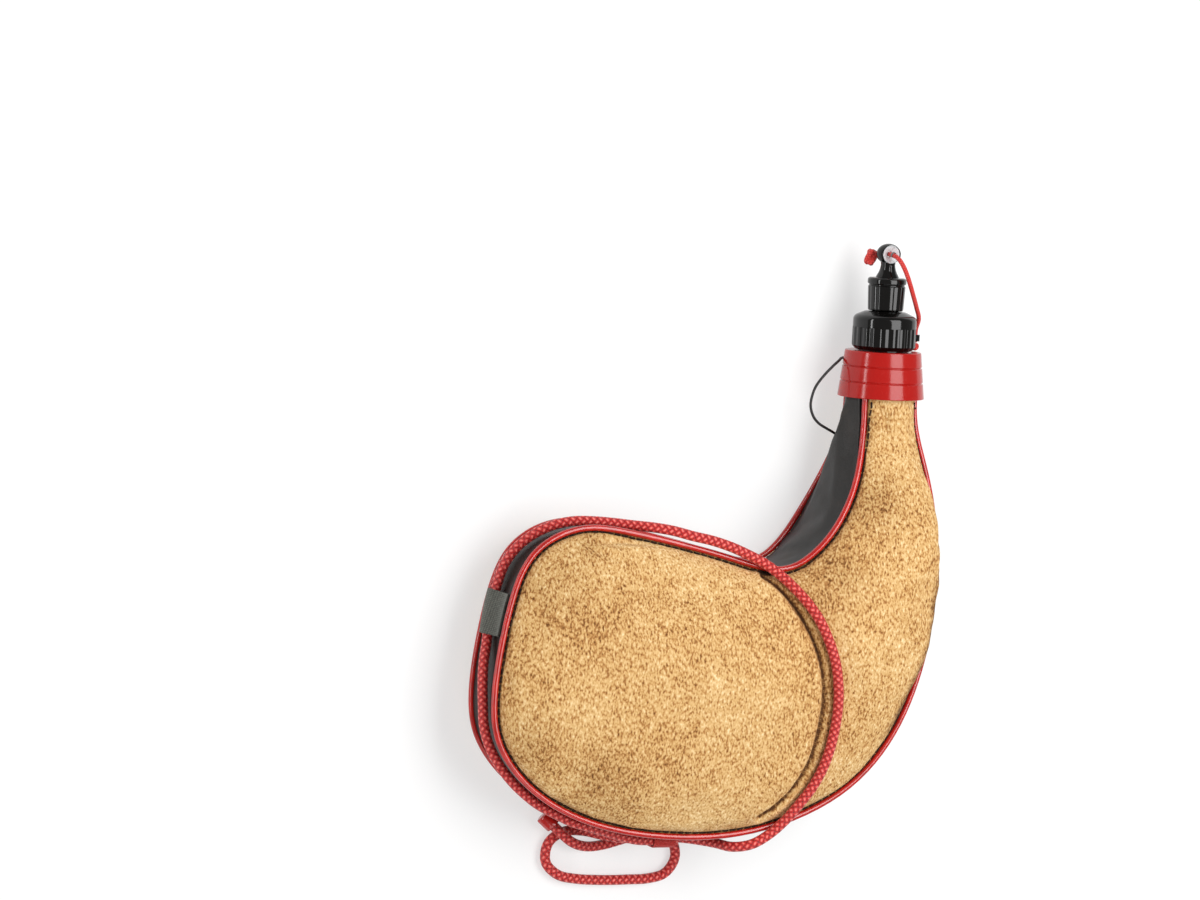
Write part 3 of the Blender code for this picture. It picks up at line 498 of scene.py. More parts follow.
tail_shares = [
    (0.062, -0.350, 0.778), (0.008, -0.350, 0.767), (-0.029, -0.351, 0.574), (-0.060, -0.347, 0.315),
    (-0.087, -0.343, 0.156), (-0.120, -0.344, 0.111), (-0.153, -0.361, 0.111), (-0.167, -0.397, 0.111),
    (-0.153, -0.433, 0.111), (-0.119, -0.449, 0.111), (-0.079, -0.456, 0.111), (-0.025, -0.459, 0.111),
    (0.033, -0.459, 0.111), (0.088, -0.456, 0.111), (0.125, -0.440, 0.111), (0.140, -0.403, 0.111),
    (0.125, -0.365, 0.111), (0.088, -0.350, 0.111), (0.037, -0.358, 0.111), (-0.017, -0.374, 0.119),
    (-0.062, -0.379, 0.185), (-0.100, -0.373, 0.296), (-0.131, -0.355, 0.363), (-0.156, -0.331, 0.341),
    (-0.179, -0.308, 0.267),
]
bag_skin = surface_of(
    "front_panel", "back_panel", "gusset_inner", "gusset_outer", "front_piping", "back_piping",
)


def resting_line(route, radius, fine):
    coarse = settle(evenly(smooth_through(route, 12), 4 * radius), radius + cord_rest, bag_skin)
    return evenly(smooth_through(coarse, 6), fine)


ring_route = [
    (x * bag_width, y * bag_length, mid_height + z * gusset_half) for x, y, z in ring_shares
]
ring_path = resting_line(ring_route, cord_radius, cord_step)
ring = sweep("carry_cord_round_the_bag", ring_path, cord_radius, cord_sides)
dress(ring, red_braid, bag, "cord_braid", "carry_cord_ring")
print("ring length", round(length_of(ring_path), 4))

# %% Carry cord, the free loop
tail_route = [(x * bag_width, y * bag_length, z * mid_height) for x, y, z in tail_shares]
tail_path = resting_line(tail_route, cord_radius, cord_step)
tail = sweep("carry_cord_free_loop", tail_path, cord_radius, cord_sides)
dress(tail, red_braid, bag, "cord_braid", "carry_cord_tail")
print("free loop length", round(length_of(tail_path), 4))

# %% [markdown]
# A thin cord of the same braid keeps the stopper: it is knotted behind the eye and
# under the lug.

# %% Tether
tether_radius = 1.2 * mm
thin_cord_step = 0.8 * mm
tether_route = [
    (-0.0048, 0.0722, -0.0098), (-0.0024, 0.0731, -0.0084), (-0.0007, 0.0737, -0.0056),
    (0.0000, 0.0738, -0.0015), (0.0002, 0.0737, 0.0044), (0.0010, 0.0722, 0.0092),
    (0.0026, 0.0688, 0.0118), (0.0048, 0.0643, 0.0124), (0.0074, 0.0592, 0.0116),
    (0.0108, 0.0532, 0.0094), (0.0146, 0.0472, 0.0062), (0.0182, 0.0413, 0.0026),
    (0.0191, 0.0360, -0.0015), (0.0191, 0.0330, -0.0020), (0.0191, 0.0286, -0.0020),
]
tether_line = [Vector(point) + neck_foot for point in tether_route]
tether_path = evenly(smooth_through(tether_line, 12), thin_cord_step)
tether = sweep("stopper_tether", tether_path, tether_radius, 14)
tether.data.materials.append(fine_braid)
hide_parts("tether")
print("tether length", round(length_of(tether_path), 4))

# %% [markdown]
# An overhand knot is a short line that goes round itself. Its path is a trefoil, a
# real knot, drawn with the cord's own thickness and pulled small.

# %% Knots
knot_steps = 72
top_knot_shift = Vector((2.4, -0.6, 1.6)) * mm


def make_knot(name, centre, along, width, height, thread, body, node, material):
    up = Vector(along).normalized()
    side = up.orthogonal().normalized()
    other = up.cross(side)
    reach = width - thread
    path = []
    for step in range(knot_steps + 1):
        angle = full_turn * step / knot_steps
        wide = (2 + math.cos(3 * angle)) / 3 * reach
        rise = math.sin(3 * angle) * (height / 2 - thread)
        spot = centre + side * (math.cos(2 * angle) * wide)
        path.append(spot + other * (math.sin(2 * angle) * wide) + up * rise)
    knot = sweep(name, path, thread, 12)
    dress(knot, material, body, "cord_braid", node)
    return knot


def box_middle(node):
    low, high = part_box(node)
    return (Vector(low) + Vector(high)) / 2


top_knot = make_knot(
    "tether_top_knot", box_middle("tether_knot") + top_knot_shift, (0.25, 1, 0),
    width=3.3 * mm, height=8.6 * mm, thread=1.45 * mm,
    body="stopper_cap", node="tether_knot", material=fine_braid,
)
end_knot = make_knot(
    "tether_lower_knot", box_middle("tether_end_knot"), (0, 1, 0),
    width=2.3 * mm, height=4.0 * mm, thread=1.1 * mm,
    body="filler_cap", node="tether_end_knot", material=fine_braid,
)

# %% [markdown]
# A loop of thin black elastic stands out beside the neck. It comes out from under the
# collar and goes into the gusset.

# %% Elastic loop
elastic, tree, shader = start_material("black_round_elastic")
place = add_node(tree, "UVMap", {"uv_map": "along_the_cord"})
wrap = add_node(tree, "TexWave", {"wave_type": "BANDS", "bands_direction": "X"}, {
    "Vector": place.outputs[0], "Scale": 500.0, "Distortion": 0.4,
})
wrap_lift = add_node(tree, "Bump", sockets={
    "Height": wrap.outputs["Fac"], "Strength": 0.4, "Distance": 0.1 * mm,
})
finish_shader(
    tree, shader, Base_Color=linear("161313"), Roughness=0.5, Normal=wrap_lift.outputs[0],
)

elastic_radius = 0.7 * mm
elastic_route = [
    (-0.0060, 0.0192, -0.0207), (-0.0125, 0.0190, -0.0176), (-0.0178, 0.0187, -0.0122),
    (-0.0217, 0.0180, -0.0065), (-0.0262, 0.0150, -0.0045), (-0.0312, 0.0102, -0.0040),
    (-0.0355, 0.0045, -0.0040), (-0.0375, -0.0012, -0.0040), (-0.0377, -0.0062, -0.0042),
    (-0.0356, -0.0112, -0.0046), (-0.0315, -0.0148, -0.0060), (-0.0265, -0.0172, -0.0080),
    (-0.0222, -0.0190, -0.0100), (-0.0190, -0.0205, -0.0112),
]
elastic_line = [Vector(point) + neck_foot for point in elastic_route]
elastic_path = evenly(smooth_through(elastic_line, 12), thin_cord_step)
elastic_loop = sweep("neck_elastic_loop", elastic_path, elastic_radius, 12)
dress(elastic_loop, elastic, bag, "elastic_cord", "neck_loop")
print("elastic length", round(length_of(elastic_path), 4))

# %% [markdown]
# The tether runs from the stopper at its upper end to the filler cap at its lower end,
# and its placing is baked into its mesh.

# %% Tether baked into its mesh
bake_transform(tether)
print("tether from", [round(value, 3) for value in tether_path[0]])

# %% [markdown]
# The suede is the flesh side of cow leather, brushed to a short nap. It is dull, with a
# soft sheen where the nap stands up. Dark flecks show where the nap lies flat, and
# they are long in the direction of the brush. Brush marks of several millimetres and
# broad patches from the hide vary them. An attribute of the mesh, written in a later
# cell, darkens the colour: it is painted shade in the crease, beside the cord and on the
# limb's right side, and it makes the suede darker towards the rim and at a few given spots.

# %% Suede
fleck_size = 1.05 * mm
brush_size = 8 * mm
patch_size = 55 * mm
fleck_share = 0.62
brush_share = 0.20
patch_share = 0.18
shade_and_darkening_strength = 0.25

suede, tree, shader = start_material("brushed_suede")
place = add_node(tree, "TexCoord")
brushed = add_node(tree, "Mapping", sockets={
    "Vector": place.outputs["Object"], "Rotation": (0, 0, math.radians(28)),
    "Scale": (1.0, 0.55, 1.0),
})
fleck = add_node(tree, "TexNoise", sockets={
    "Vector": brushed.outputs[0], "Scale": 1 / fleck_size, "Detail": 1.5, "Roughness": 0.6,
})
brush = add_node(tree, "TexNoise", sockets={
    "Vector": place.outputs["Object"], "Scale": 1 / brush_size, "Detail": 4.0, "Roughness": 0.6,
    "Distortion": 0.5,
})
patch = add_node(tree, "TexNoise", sockets={
    "Vector": place.outputs["Object"], "Scale": 1 / patch_size, "Detail": 2.0,
})
# This attribute darkens the nap towards dark brown: painted shade in the crease, beside the cord and
# on the limb's right side, and darker towards the rim and at given spots.
painted_shade_and_darkening = add_node(tree, "Attribute", {"attribute_name": "painted_shade_and_darkening"})
patches = add_node(tree, "Math", {"operation": "MULTIPLY"}, {
    0: patch.outputs["Fac"], 1: patch_share,
})
with_brush = add_node(tree, "Math", {"operation": "MULTIPLY_ADD"}, {
    0: brush.outputs["Fac"], 1: brush_share, 2: patches.outputs[0],
})
nap_height = add_node(tree, "Math", {"operation": "MULTIPLY_ADD"}, {
    0: fleck.outputs["Fac"], 1: fleck_share, 2: with_brush.outputs[0],
})
nap_tone = add_node(tree, "Math", {"operation": "MULTIPLY_ADD"}, {
    0: painted_shade_and_darkening.outputs["Fac"], 1: -shade_and_darkening_strength, 2: nap_height.outputs[0],
})
nap_ramp = add_node(tree, "ValToRGB", sockets={"Fac": nap_tone.outputs[0]})
set_stops(nap_ramp, [
    (0.33, "6b4321"), (0.42, "ad7a45"), (0.49, "cda368"), (0.57, "dcb780"), (0.67, "f0d8a8"),
])
nap_colour = add_node(tree, "Mix", {"data_type": "RGBA"}, {
    0: painted_shade_and_darkening.outputs["Fac"], 6: nap_ramp.outputs["Color"], 7: linear("2e1a0e"),
})
nap = add_node(tree, "Bump", sockets={
    "Height": nap_height.outputs[0], "Strength": 0.8, "Distance": 0.9 * mm,
})
finish_shader(
    tree, shader, Base_Color=nap_colour.outputs[2], Roughness=0.92, Normal=nap.outputs[0],
    Sheen_Weight=0.25, Sheen_Roughness=0.5, Sheen_Tint=linear("f2d3a4"), Specular_IOR_Level=0.2,
)
print("fleck, brush and patch sizes", fleck_size, brush_size, patch_size)

# %% [markdown]
# A panel of the bag starts as a copy of the frame's solid, so its seam is in the right
# place. A solid of the frame is loose triangles, so the copy is merged, and its
# triangles are joined in pairs, since a mesh of four-sided faces subdivides evenly.

# %% Merged copy of a solid
weld_gap = 0.01 * mm
quad_bend = 1.2
quad_skew = 1.6


def merged_copy(node, name):
    piece = bpy.data.objects.new(name, nodes[node].data.copy())
    bpy.context.scene.collection.objects.link(piece)
    pick(piece)
    bpy.ops.mesh.customdata_custom_splitnormals_clear()
    bpy.ops.object.mode_set(mode="EDIT")
    bpy.ops.mesh.select_all(action="SELECT")
    bpy.ops.mesh.remove_doubles(threshold=weld_gap)
    bpy.ops.mesh.tris_convert_to_quads(face_threshold=quad_bend, shape_threshold=quad_skew)
    return piece


def subdivide(piece, levels):
    surface = piece.modifiers.new("finer", "SUBSURF")
    surface.levels = levels
    surface.render_levels = levels
    apply_modifiers(piece)

# %% [markdown]
# Only the outer skin of the solid is kept. It is found by looking both ways from each
# face: the solid's own inner side is close behind it, and neither the bladder nor the
# throat is close in front of it.

# %% Outer skin of a solid
inside = surface_of("liner", "throat")
off_the_face = 0.01 * mm
look_back = 1.7
look_ahead = 9 * mm
suede_solid = 2.0 * mm
gusset_solid = 1.5 * mm


def outer_skin(node, name, thickness):
    piece = merged_copy(node, name)
    bpy.ops.mesh.select_all(action="DESELECT")
    shape = bmesh.from_edit_mesh(piece.data)
    own = BVHTree.FromBMesh(shape)
    for face in shape.faces:
        out = face.normal
        spot = face.calc_center_median()
        behind = own.ray_cast(spot - out * off_the_face, -out, look_back * thickness)
        ahead = inside.ray_cast(spot + out * off_the_face, out, look_ahead)
        face.select = behind[0] is None or ahead[0] is not None
    bmesh.update_edit_mesh(piece.data)
    bpy.ops.mesh.delete(type="FACE")
    bpy.ops.object.mode_set(mode="OBJECT")
    return piece


front = outer_skin("front_panel", "front_suede", suede_solid)
back = outer_skin("back_panel", "back_suede", suede_solid)
inner_gusset = outer_skin("gusset_inner", "gusset_of_the_bend", gusset_solid)
outer_gusset = outer_skin("gusset_outer", "gusset_of_the_back", gusset_solid)
sheets = [front, back, inner_gusset, outer_gusset]
for sheet in sheets:
    print(sheet.name, "outer faces", len(sheet.data.polygons))
    subdivide(sheet, 2)

# %% [markdown]
# The full bag stands out like a cushion. Cloth is a good way to get that: each skin is
# held at its seam, pressure blows it outwards, and it is cut a little too large, so it
# buckles beside the seam as a stuffed leather does. The move of every point is capped,
# and it fades to nothing beside the cord, which presses the leather down. After that
# each skin is subdivided once more, so that fine folds have points to move.

# %% Distances and fades


def point_tree(points):
    tree = KDTree(len(points))
    for index, point in enumerate(points):
        tree.insert(point, index)
    tree.balance()
    return tree


def rim_distance(piece):
    shape = bmesh.new()
    shape.from_mesh(piece.data)
    rim = [vertex.co.copy() for vertex in shape.verts if vertex.is_boundary]
    shape.free()
    tree = point_tree(rim)
    return [tree.find(vertex.co)[2] for vertex in piece.data.vertices]


def ease(value, low, high):
    share = min(max((value - low) / (high - low), 0.0), 1.0)
    return share * share * (3 - 2 * share)


cord_tree = point_tree(ring_path + tail_path)
print("points along the cord", len(ring_path + tail_path))

# %% Cloth
inward_play = 0.3 * mm
seam_hold = 0.3 * mm
neck_hold = 146 * mm
cord_fade = (2.2 * mm, 14 * mm)
seam_fade = (-3 * mm, 8 * mm)


def blow_up(piece, pressure, growth, cap, frames=20):
    start = [vertex.co.copy() for vertex in piece.data.vertices]
    normals = [vertex.normal.copy() for vertex in piece.data.vertices]
    far = rim_distance(piece)
    held = piece.vertex_groups.new(name="held_at_the_seam")
    for index, reach in enumerate(far):
        if reach < seam_hold or start[index].y > neck_hold:
            held.add([index], 1.0, "REPLACE")
    cloth = piece.modifiers.new("leather", "CLOTH")
    settings = cloth.settings
    settings.quality = 6
    settings.mass = 0.3
    settings.tension_stiffness = 20
    settings.compression_stiffness = 20
    settings.shear_stiffness = 8
    settings.bending_stiffness = 0.6
    settings.air_damping = 3
    settings.use_pressure = True
    settings.uniform_pressure_force = pressure
    settings.shrink_min = -growth
    settings.vertex_group_mass = held.name
    settings.effector_weights.gravity = 0
    cloth.collision_settings.use_collision = False
    cloth.point_cache.frame_start = 1
    cloth.point_cache.frame_end = frames
    for step in range(1, frames + 1):
        bpy.context.scene.frame_set(step)
    apply_modifiers(piece)
    bpy.context.scene.frame_set(1)
    piece.vertex_groups.clear()
    moved = 0.0
    for vertex, first, normal, reach in zip(piece.data.vertices, start, normals, far):
        move = vertex.co - first
        inward = min(move.dot(normal) + inward_play, 0.0)
        move = move - normal * inward
        away = cord_tree.find(first)[2]
        move = move * ease(away, *cord_fade) * ease(reach, *seam_fade)
        if move.length > cap:
            move = move * (cap / move.length)
        vertex.co = first + move
        moved = max(moved, move.length)
    piece.data.update()
    print(piece.name, "moved by up to", round(moved / mm, 2), "mm")


blow_up(front, pressure=4.0, growth=0.015, cap=5 * mm)
blow_up(back, pressure=4.0, growth=0.015, cap=3 * mm)
for gusset in (inner_gusset, outer_gusset):
    blow_up(gusset, pressure=3.0, growth=0.006, cap=2 * mm)
for sheet in sheets:
    subdivide(sheet, 1)

# %% [markdown]
# The last forms are drawn by moving points. Short puckers run in from the seam, and
# slow waves cross the hide. They follow a noise, which is smooth, so they have no edges.

# %% Puckers and waves
pucker_height = 1.2 * mm
pucker_size = 9 * mm
small_pucker_size = 4 * mm
hide_wave_height = 1.6 * mm
hide_wave_size = 46 * mm
hide_wave_start = Vector((3.1, 0.4, 7.7))
pucker_fade = (0.0, 5 * mm)
hide_wave_fade = (4 * mm, 24 * mm)


def seam_puckers(point, reach):
    wave = noise.noise(point * (1 / pucker_size))
    wave += 0.5 * noise.noise(point * (1 / small_pucker_size))
    return wave * pucker_height * math.exp(-reach / pucker_size) * ease(reach, *pucker_fade)


def hide_waves(point, reach):
    wave = noise.noise(point * (1 / hide_wave_size) + hide_wave_start)
    return wave * hide_wave_height * ease(reach, *hide_wave_fade)


print("pucker height", pucker_height)

# %% [markdown]
# A fold is a line on the bag, seen from the front. Points near it sink, and those on
# both sides of it rise a little, as leather does beside a crease.

# %% Folds
fold_lines = []


def flat(point):
    return Vector((point.x, point.y, 0))


def flat_line(points):
    return point_tree([flat(point) for point in evenly(smooth_through(points, 10), 1 * mm)])


def add_fold(points, depth, width):
    fold_lines.append((flat_line(points), depth, width))

# %% [markdown]
# Two places stand out further than the cloth blew them: the limb's right side, and the
# gusset in the bend between the limb and the lobe. Each swell comes and goes between
# two heights on the bag, and fades towards the seam.

# %% Swells
limb_swell = 5.5 * mm
limb_comes = (-30 * mm, 30 * mm)
limb_goes = (70 * mm, 142 * mm)
limb_side = (104 * mm, 128 * mm)
limb_band_starts = (1.0 * mm, 8 * mm)
limb_band_ends = (14 * mm, 38 * mm)
bend_swell = Vector((-5.0, 0, -1.5)) * mm
bend_comes = (78 * mm, 112 * mm)
bend_goes = (132 * mm, 158 * mm)
bend_seam = (0.5 * mm, 10 * mm)


def limb_side_swell(point, reach):
    height = ease(point.y, *limb_comes) * (1 - ease(point.y, *limb_goes))
    side = ease(point.x, *limb_side)
    band = ease(reach, *limb_band_starts) * (1 - ease(reach, *limb_band_ends))
    return Vector((limb_swell * height * side * band, 0, 0))


def bend_gusset_swell(point, reach):
    height = ease(point.y, *bend_comes) * (1 - ease(point.y, *bend_goes))
    return bend_swell * height * ease(reach, *bend_seam)


print("swells", limb_swell, [round(value, 4) for value in bend_swell])

# %% [markdown]
# A crease is narrower than the faces of the skin, so the mesh is made finer along it
# first. Then every point is moved, and pushed out of the cord where it came too close.

# %% Shape a skin
cord_clear = 0.12 * mm
cord_calm = (3.0 * mm, 9 * mm)
seam_calm = (0.0, 5 * mm)
shoulder_share = 0.35
shoulder_place = 2.2
shoulder_calm = (cord_radius, 5 * mm)


def refine_along(piece, line, reach):
    pick(piece)
    bpy.ops.object.mode_set(mode="EDIT")
    shape = bmesh.from_edit_mesh(piece.data)
    for face in shape.faces:
        face.select_set(line.find(flat(face.calc_center_median()))[2] < reach)
    bmesh.update_edit_mesh(piece.data)
    bpy.ops.mesh.subdivide(number_cuts=2)
    bpy.ops.object.mode_set(mode="OBJECT")


def shape_skin(piece, amount, floor_level=None, swell=None):
    far = rim_distance(piece)
    normals = [vertex.normal.copy() for vertex in piece.data.vertices]
    for vertex, normal, reach in zip(piece.data.vertices, normals, far):
        point = vertex.co.copy()
        away = cord_tree.find(point)[2]
        lift = (seam_puckers(point, reach) + hide_waves(point, reach)) * amount
        lift *= ease(away, *cord_calm)
        for tree, depth, width in fold_lines:
            near = tree.find(flat(point))[2]
            lift -= depth * math.exp(-(near / width) ** 2) * ease(reach, *seam_calm)
            shoulder = math.exp(-((near - shoulder_place * width) / width) ** 2)
            lift += shoulder_share * depth * shoulder * ease(away, *shoulder_calm)
        vertex.co = point + normal * lift
        if swell is not None:
            vertex.co = vertex.co + swell(point, reach)
    for vertex in piece.data.vertices:
        near, index, away = cord_tree.find(vertex.co)
        clear = cord_radius + cord_clear
        if away < clear:
            vertex.co = vertex.co + (vertex.co - near) * (clear / away - 1)
        if floor_level is not None:
            vertex.co.z = max(vertex.co.z, floor_level)
    piece.data.update()

# %% [markdown]
# The suede's colour reads an attribute of the mesh. It is strongest in the crease, where
# it is painted shade, as it is in a band beside the cord and on the right side of the
# limb, where the limb turns from the light. It also makes the suede darker towards the
# rim and at a few given spots.

# %% Painted shade and darkening
# Painted shade beside the cord and on the limb's right side; the rim is also made darker.
cord_painted_shade = 0.16
cord_shade_width = 1.6 * mm
rim_darkening = 0.35
rim_darkening_width = 1.2 * mm
side_painted_shade = 0.7
side_shade_comes = (-30 * mm, 0 * mm)
side_shade_goes = (55 * mm, 90 * mm)
side_shade_side = (100 * mm, 116 * mm)
side_shade_width = (4 * mm, 11 * mm)
most_shade_and_darkening = 0.92


def paint_shade_and_darkening(piece):
    far = rim_distance(piece)
    layer = piece.data.attributes.new("painted_shade_and_darkening", "FLOAT", "POINT")
    for vertex, reach, place in zip(piece.data.vertices, far, layer.data):
        point = vertex.co
        away = cord_tree.find(point)[2]
        # Painted shade in a band beside the cord, and darker towards the rim.
        painted_shade_and_darkening = cord_painted_shade * math.exp(-((away - cord_radius) / cord_shade_width) ** 2)
        painted_shade_and_darkening += rim_darkening * math.exp(-reach / rim_darkening_width)
        for tree, width, share in painted_shade_lines:
            painted_shade_and_darkening += share * math.exp(-(tree.find(flat(point))[2] / width) ** 2)
        for spot, size, share in dark_spots:
            painted_shade_and_darkening += share * math.exp(-((point - spot).length / size) ** 2)
        # Painted shade on the limb's right side, which turns from the light.
        height = ease(point.y, *side_shade_comes) * (1 - ease(point.y, *side_shade_goes))
        side = ease(point.x, *side_shade_side) * (1 - ease(reach, *side_shade_width))
        painted_shade_and_darkening += side_painted_shade * height * side
        place.value = min(painted_shade_and_darkening, most_shade_and_darkening)

# %% [markdown]
# The folds are placed as they show in the photograph. A ray from the camera through a
# pixel finds the point of the bag that it shows. A wrinkle is a few pixels, a depth and
# a width. A dark spot is a pixel, a size and a strength. Sizes are in millimetres.

# %% From a pixel to the bag
blown = BVHTree.FromObject(front, bpy.context.evaluated_depsgraph_get())


def on_bag(across, down):
    spot = centre + camera_right * ((across - photo_width / 2) * pixel)
    spot = spot + camera_up * ((photo_height / 2 - down) * pixel)
    eye_point = centre + towards * distance
    hit = blown.ray_cast(eye_point, (spot - eye_point).normalized())[0]
    return hit if hit is not None else blown.find_nearest(spot)[0]

# %% Crease, wrinkles and dark spots
crease_depth = 1.9 * mm
crease_width = 1.5 * mm
# Painted shade along the crease.
crease_shade_width = 0.9 * mm
crease_painted_shade = 0.9
bulge_height = 1.1 * mm
bulge_width = 4.5 * mm
bulge_pixels_left = 13

crease = [
    (748, 567), (763, 576), (779, 588), (797, 609), (813, 637), (823, 668), (825, 700), (820, 730),
    (811, 760), (797, 784), (779, 804), (760, 817),
]
wrinkles = [
    ([(583, 531), (590, 543), (601, 552), (615, 557)], 1.0, 1.8),
    ([(603, 529), (609, 539), (619, 546)], 0.8, 1.5),
    ([(876, 408), (884, 416), (886, 428)], 0.8, 1.6),
    ([(868, 440), (876, 448), (889, 452)], 0.7, 1.8),
]
# Spots where the suede is made darker, each a pixel, a size and a strength.
dark_spot_places = [
    (555, 575, 24, 0.11), (530, 740, 16, 0.10), (600, 785, 18, 0.13), (872, 500, 17, 0.20),
    (840, 575, 15, 0.14), (885, 420, 9, 0.10), (590, 545, 7, 0.12),
]

crease_line = [on_bag(across, down) for across, down in crease]
bulge_line = [on_bag(across - bulge_pixels_left, down) for across, down in crease[2:-2]]
add_fold(crease_line, crease_depth, crease_width)
add_fold(bulge_line, -bulge_height, bulge_width)
for wrinkle, depth, width in wrinkles:
    add_fold([on_bag(across, down) for across, down in wrinkle], depth * mm, width * mm)
# The crease's dark line in the colour is painted shade.
painted_shade_lines = [(flat_line(crease_line), crease_shade_width, crease_painted_shade)]
dark_spots = [
    (on_bag(across, down), size * mm, share) for across, down, size, share in dark_spot_places
]
print("crease from", [round(value, 3) for value in crease_line[0]], "folds", len(fold_lines))

# %% [markdown]
# The front skin gets the folds, and the attribute of painted shade and darkening. The
# other skins get only puckers, waves and, in the bend, the swell.

# %% Shape the four skins
fine_band = 4 * mm

refine_along(front, fold_lines[0][0], fine_band)
shape_skin(front, 1.0, swell=limb_side_swell)
paint_shade_and_darkening(front)
fold_lines.clear()
shape_skin(back, 0.7, floor_level=0.0)
shape_skin(inner_gusset, 0.45, swell=bend_gusset_swell)
shape_skin(outer_gusset, 0.45)
for sheet in sheets:
    smooth_shade(sheet, 60)
    print(sheet.name, "faces", len(sheet.data.polygons))

# %% [markdown]
# A sheet has no thickness yet. The line that the stitches will follow is read from each
# panel's rim while it is one clean edge. Each rim is then tucked into the piping beside
# it, as the seam allowance is on the real bag, so no light comes through the seam.
# Solidify gives each skin its wall towards the inside.

# %% The line of the seam
seam_inset = 1.5 * mm


def rim_line(piece, inset):
    shape = bmesh.new()
    shape.from_mesh(piece.data)
    shape.normal_update()
    shape.verts.ensure_lookup_table()
    first = next(vertex for vertex in shape.verts if vertex.is_boundary)
    loop = [first]
    before = None
    while True:
        here = loop[-1]
        ways = [edge.other_vert(here) for edge in here.link_edges if edge.is_boundary]
        ahead = [vertex for vertex in ways if vertex != before]
        before = here
        if not ahead or ahead[0] == first:
            break
        loop.append(ahead[0])
    line = []
    for vertex in loop:
        inner = [edge.other_vert(vertex) for edge in vertex.link_edges if not edge.is_boundary]
        towards_middle = (inner[0].co - vertex.co).normalized() if inner else Vector()
        line.append((vertex.co + towards_middle * inset, vertex.normal.copy()))
    shape.free()
    return line


front_rim = rim_line(front, seam_inset)
back_rim = rim_line(back, seam_inset)
print("points in each rim", len(front_rim), len(back_rim))

# %% Leather thickness
suede_wall = 1.6 * mm
gusset_wall = 1.2 * mm
tuck_depth = 0.6 * mm
tuck_reach = 2.5 * mm


def thicken(piece, thickness):
    wall = piece.modifiers.new("wall", "SOLIDIFY")
    wall.thickness = thickness
    wall.offset = -1
    apply_modifiers(piece)
    smooth_shade(piece, 50)


def tuck_rim(piece):
    shape = bmesh.new()
    shape.from_mesh(piece.data)
    edge_places = [(vertex.index, vertex.co.copy()) for vertex in shape.verts if vertex.is_boundary]
    shape.free()
    for index, place in edge_places:
        found = [tree.find_nearest(place) for tree in bead_trees]
        near, outward, face, away = min(found, key=lambda hit: hit[3])
        if away < tuck_reach and (near - place).dot(outward) < 0:
            piece.data.vertices[index].co = near - outward * tuck_depth
    piece.data.update()


graph = bpy.context.evaluated_depsgraph_get()
bead_trees = [BVHTree.FromObject(nodes[node], graph) for node in ("front_piping", "back_piping")]
for sheet in sheets:
    tuck_rim(sheet)
thicken(front, suede_wall)
thicken(back, suede_wall)
thicken(inner_gusset, gusset_wall)
thicken(outer_gusset, gusset_wall)
dress(front, suede, bag, "suede", "front_panel")
dress(back, suede, bag, "suede", "back_panel")

# %% [markdown]
# The gusset is smooth grain leather, dyed near black and waxed, so it has fine grain
# cells, faint wear and a broad soft gloss.

# %% Gusset leather
cell_size = 1.1 * mm

grain_leather, tree, shader = start_material("black_waxed_grain_leather")
place = add_node(tree, "TexCoord")
cells = add_node(tree, "TexVoronoi", {"feature": "DISTANCE_TO_EDGE"}, {
    "Vector": place.outputs["Object"], "Scale": 1 / cell_size,
})
wear = add_node(tree, "TexNoise", sockets={
    "Vector": place.outputs["Object"], "Scale": 1 / (18 * mm), "Detail": 5.0, "Roughness": 0.6,
})
wear_ramp = add_node(tree, "ValToRGB", sockets={"Fac": wear.outputs["Fac"]})
set_stops(wear_ramp, [(0.35, "14110f"), (0.58, "1e1a17"), (0.75, "302822")])
cell_edges = add_node(tree, "MapRange", sockets={
    "Value": cells.outputs["Distance"], "From Min": 0.0, "From Max": 0.12,
})
wax = add_node(tree, "MapRange", sockets={
    "Value": wear.outputs["Fac"], "From Min": 0.3, "From Max": 0.7, "To Min": 0.38, "To Max": 0.52,
})
skin_lift = add_node(tree, "Bump", sockets={
    "Height": cell_edges.outputs[0], "Strength": 0.35, "Distance": 0.15 * mm,
})
finish_shader(
    tree, shader, Base_Color=wear_ramp.outputs["Color"], Roughness=wax.outputs[0],
    Normal=skin_lift.outputs[0], Coat_Weight=0.1, Coat_Roughness=0.25, Specular_IOR_Level=0.35,
)
dress(inner_gusset, grain_leather, bag, "gusset_leather", "gusset_inner")
dress(outer_gusset, grain_leather, bag, "gusset_leather", "gusset_outer")

# %% [markdown]
# The piping is a bead of soft red PVC, extruded and glossy. The frame's bead has few
# sides, so a copy is subdivided, which makes it round, and then drawn in a little.

# %% Piping
pvc, tree, shader = start_material("glossy_red_pvc")
place = add_node(tree, "TexCoord")
draw = add_node(tree, "TexNoise", sockets={
    "Vector": place.outputs["Object"], "Scale": 1 / (5 * mm), "Detail": 2.0,
})
draw_ramp = add_node(tree, "ValToRGB", sockets={"Fac": draw.outputs["Fac"]})
set_stops(draw_ramp, [(0.3, "a01410"), (0.6, "b81b15")])
draw_lift = add_node(tree, "Bump", sockets={
    "Height": draw.outputs["Fac"], "Strength": 0.25, "Distance": 0.3 * mm,
})
finish_shader(
    tree, shader, Base_Color=draw_ramp.outputs["Color"], Roughness=0.16, Normal=draw_lift.outputs[0],
    Coat_Weight=0.3, Coat_Roughness=0.08, IOR=1.53,
)
bead_draw = 0.4 * mm


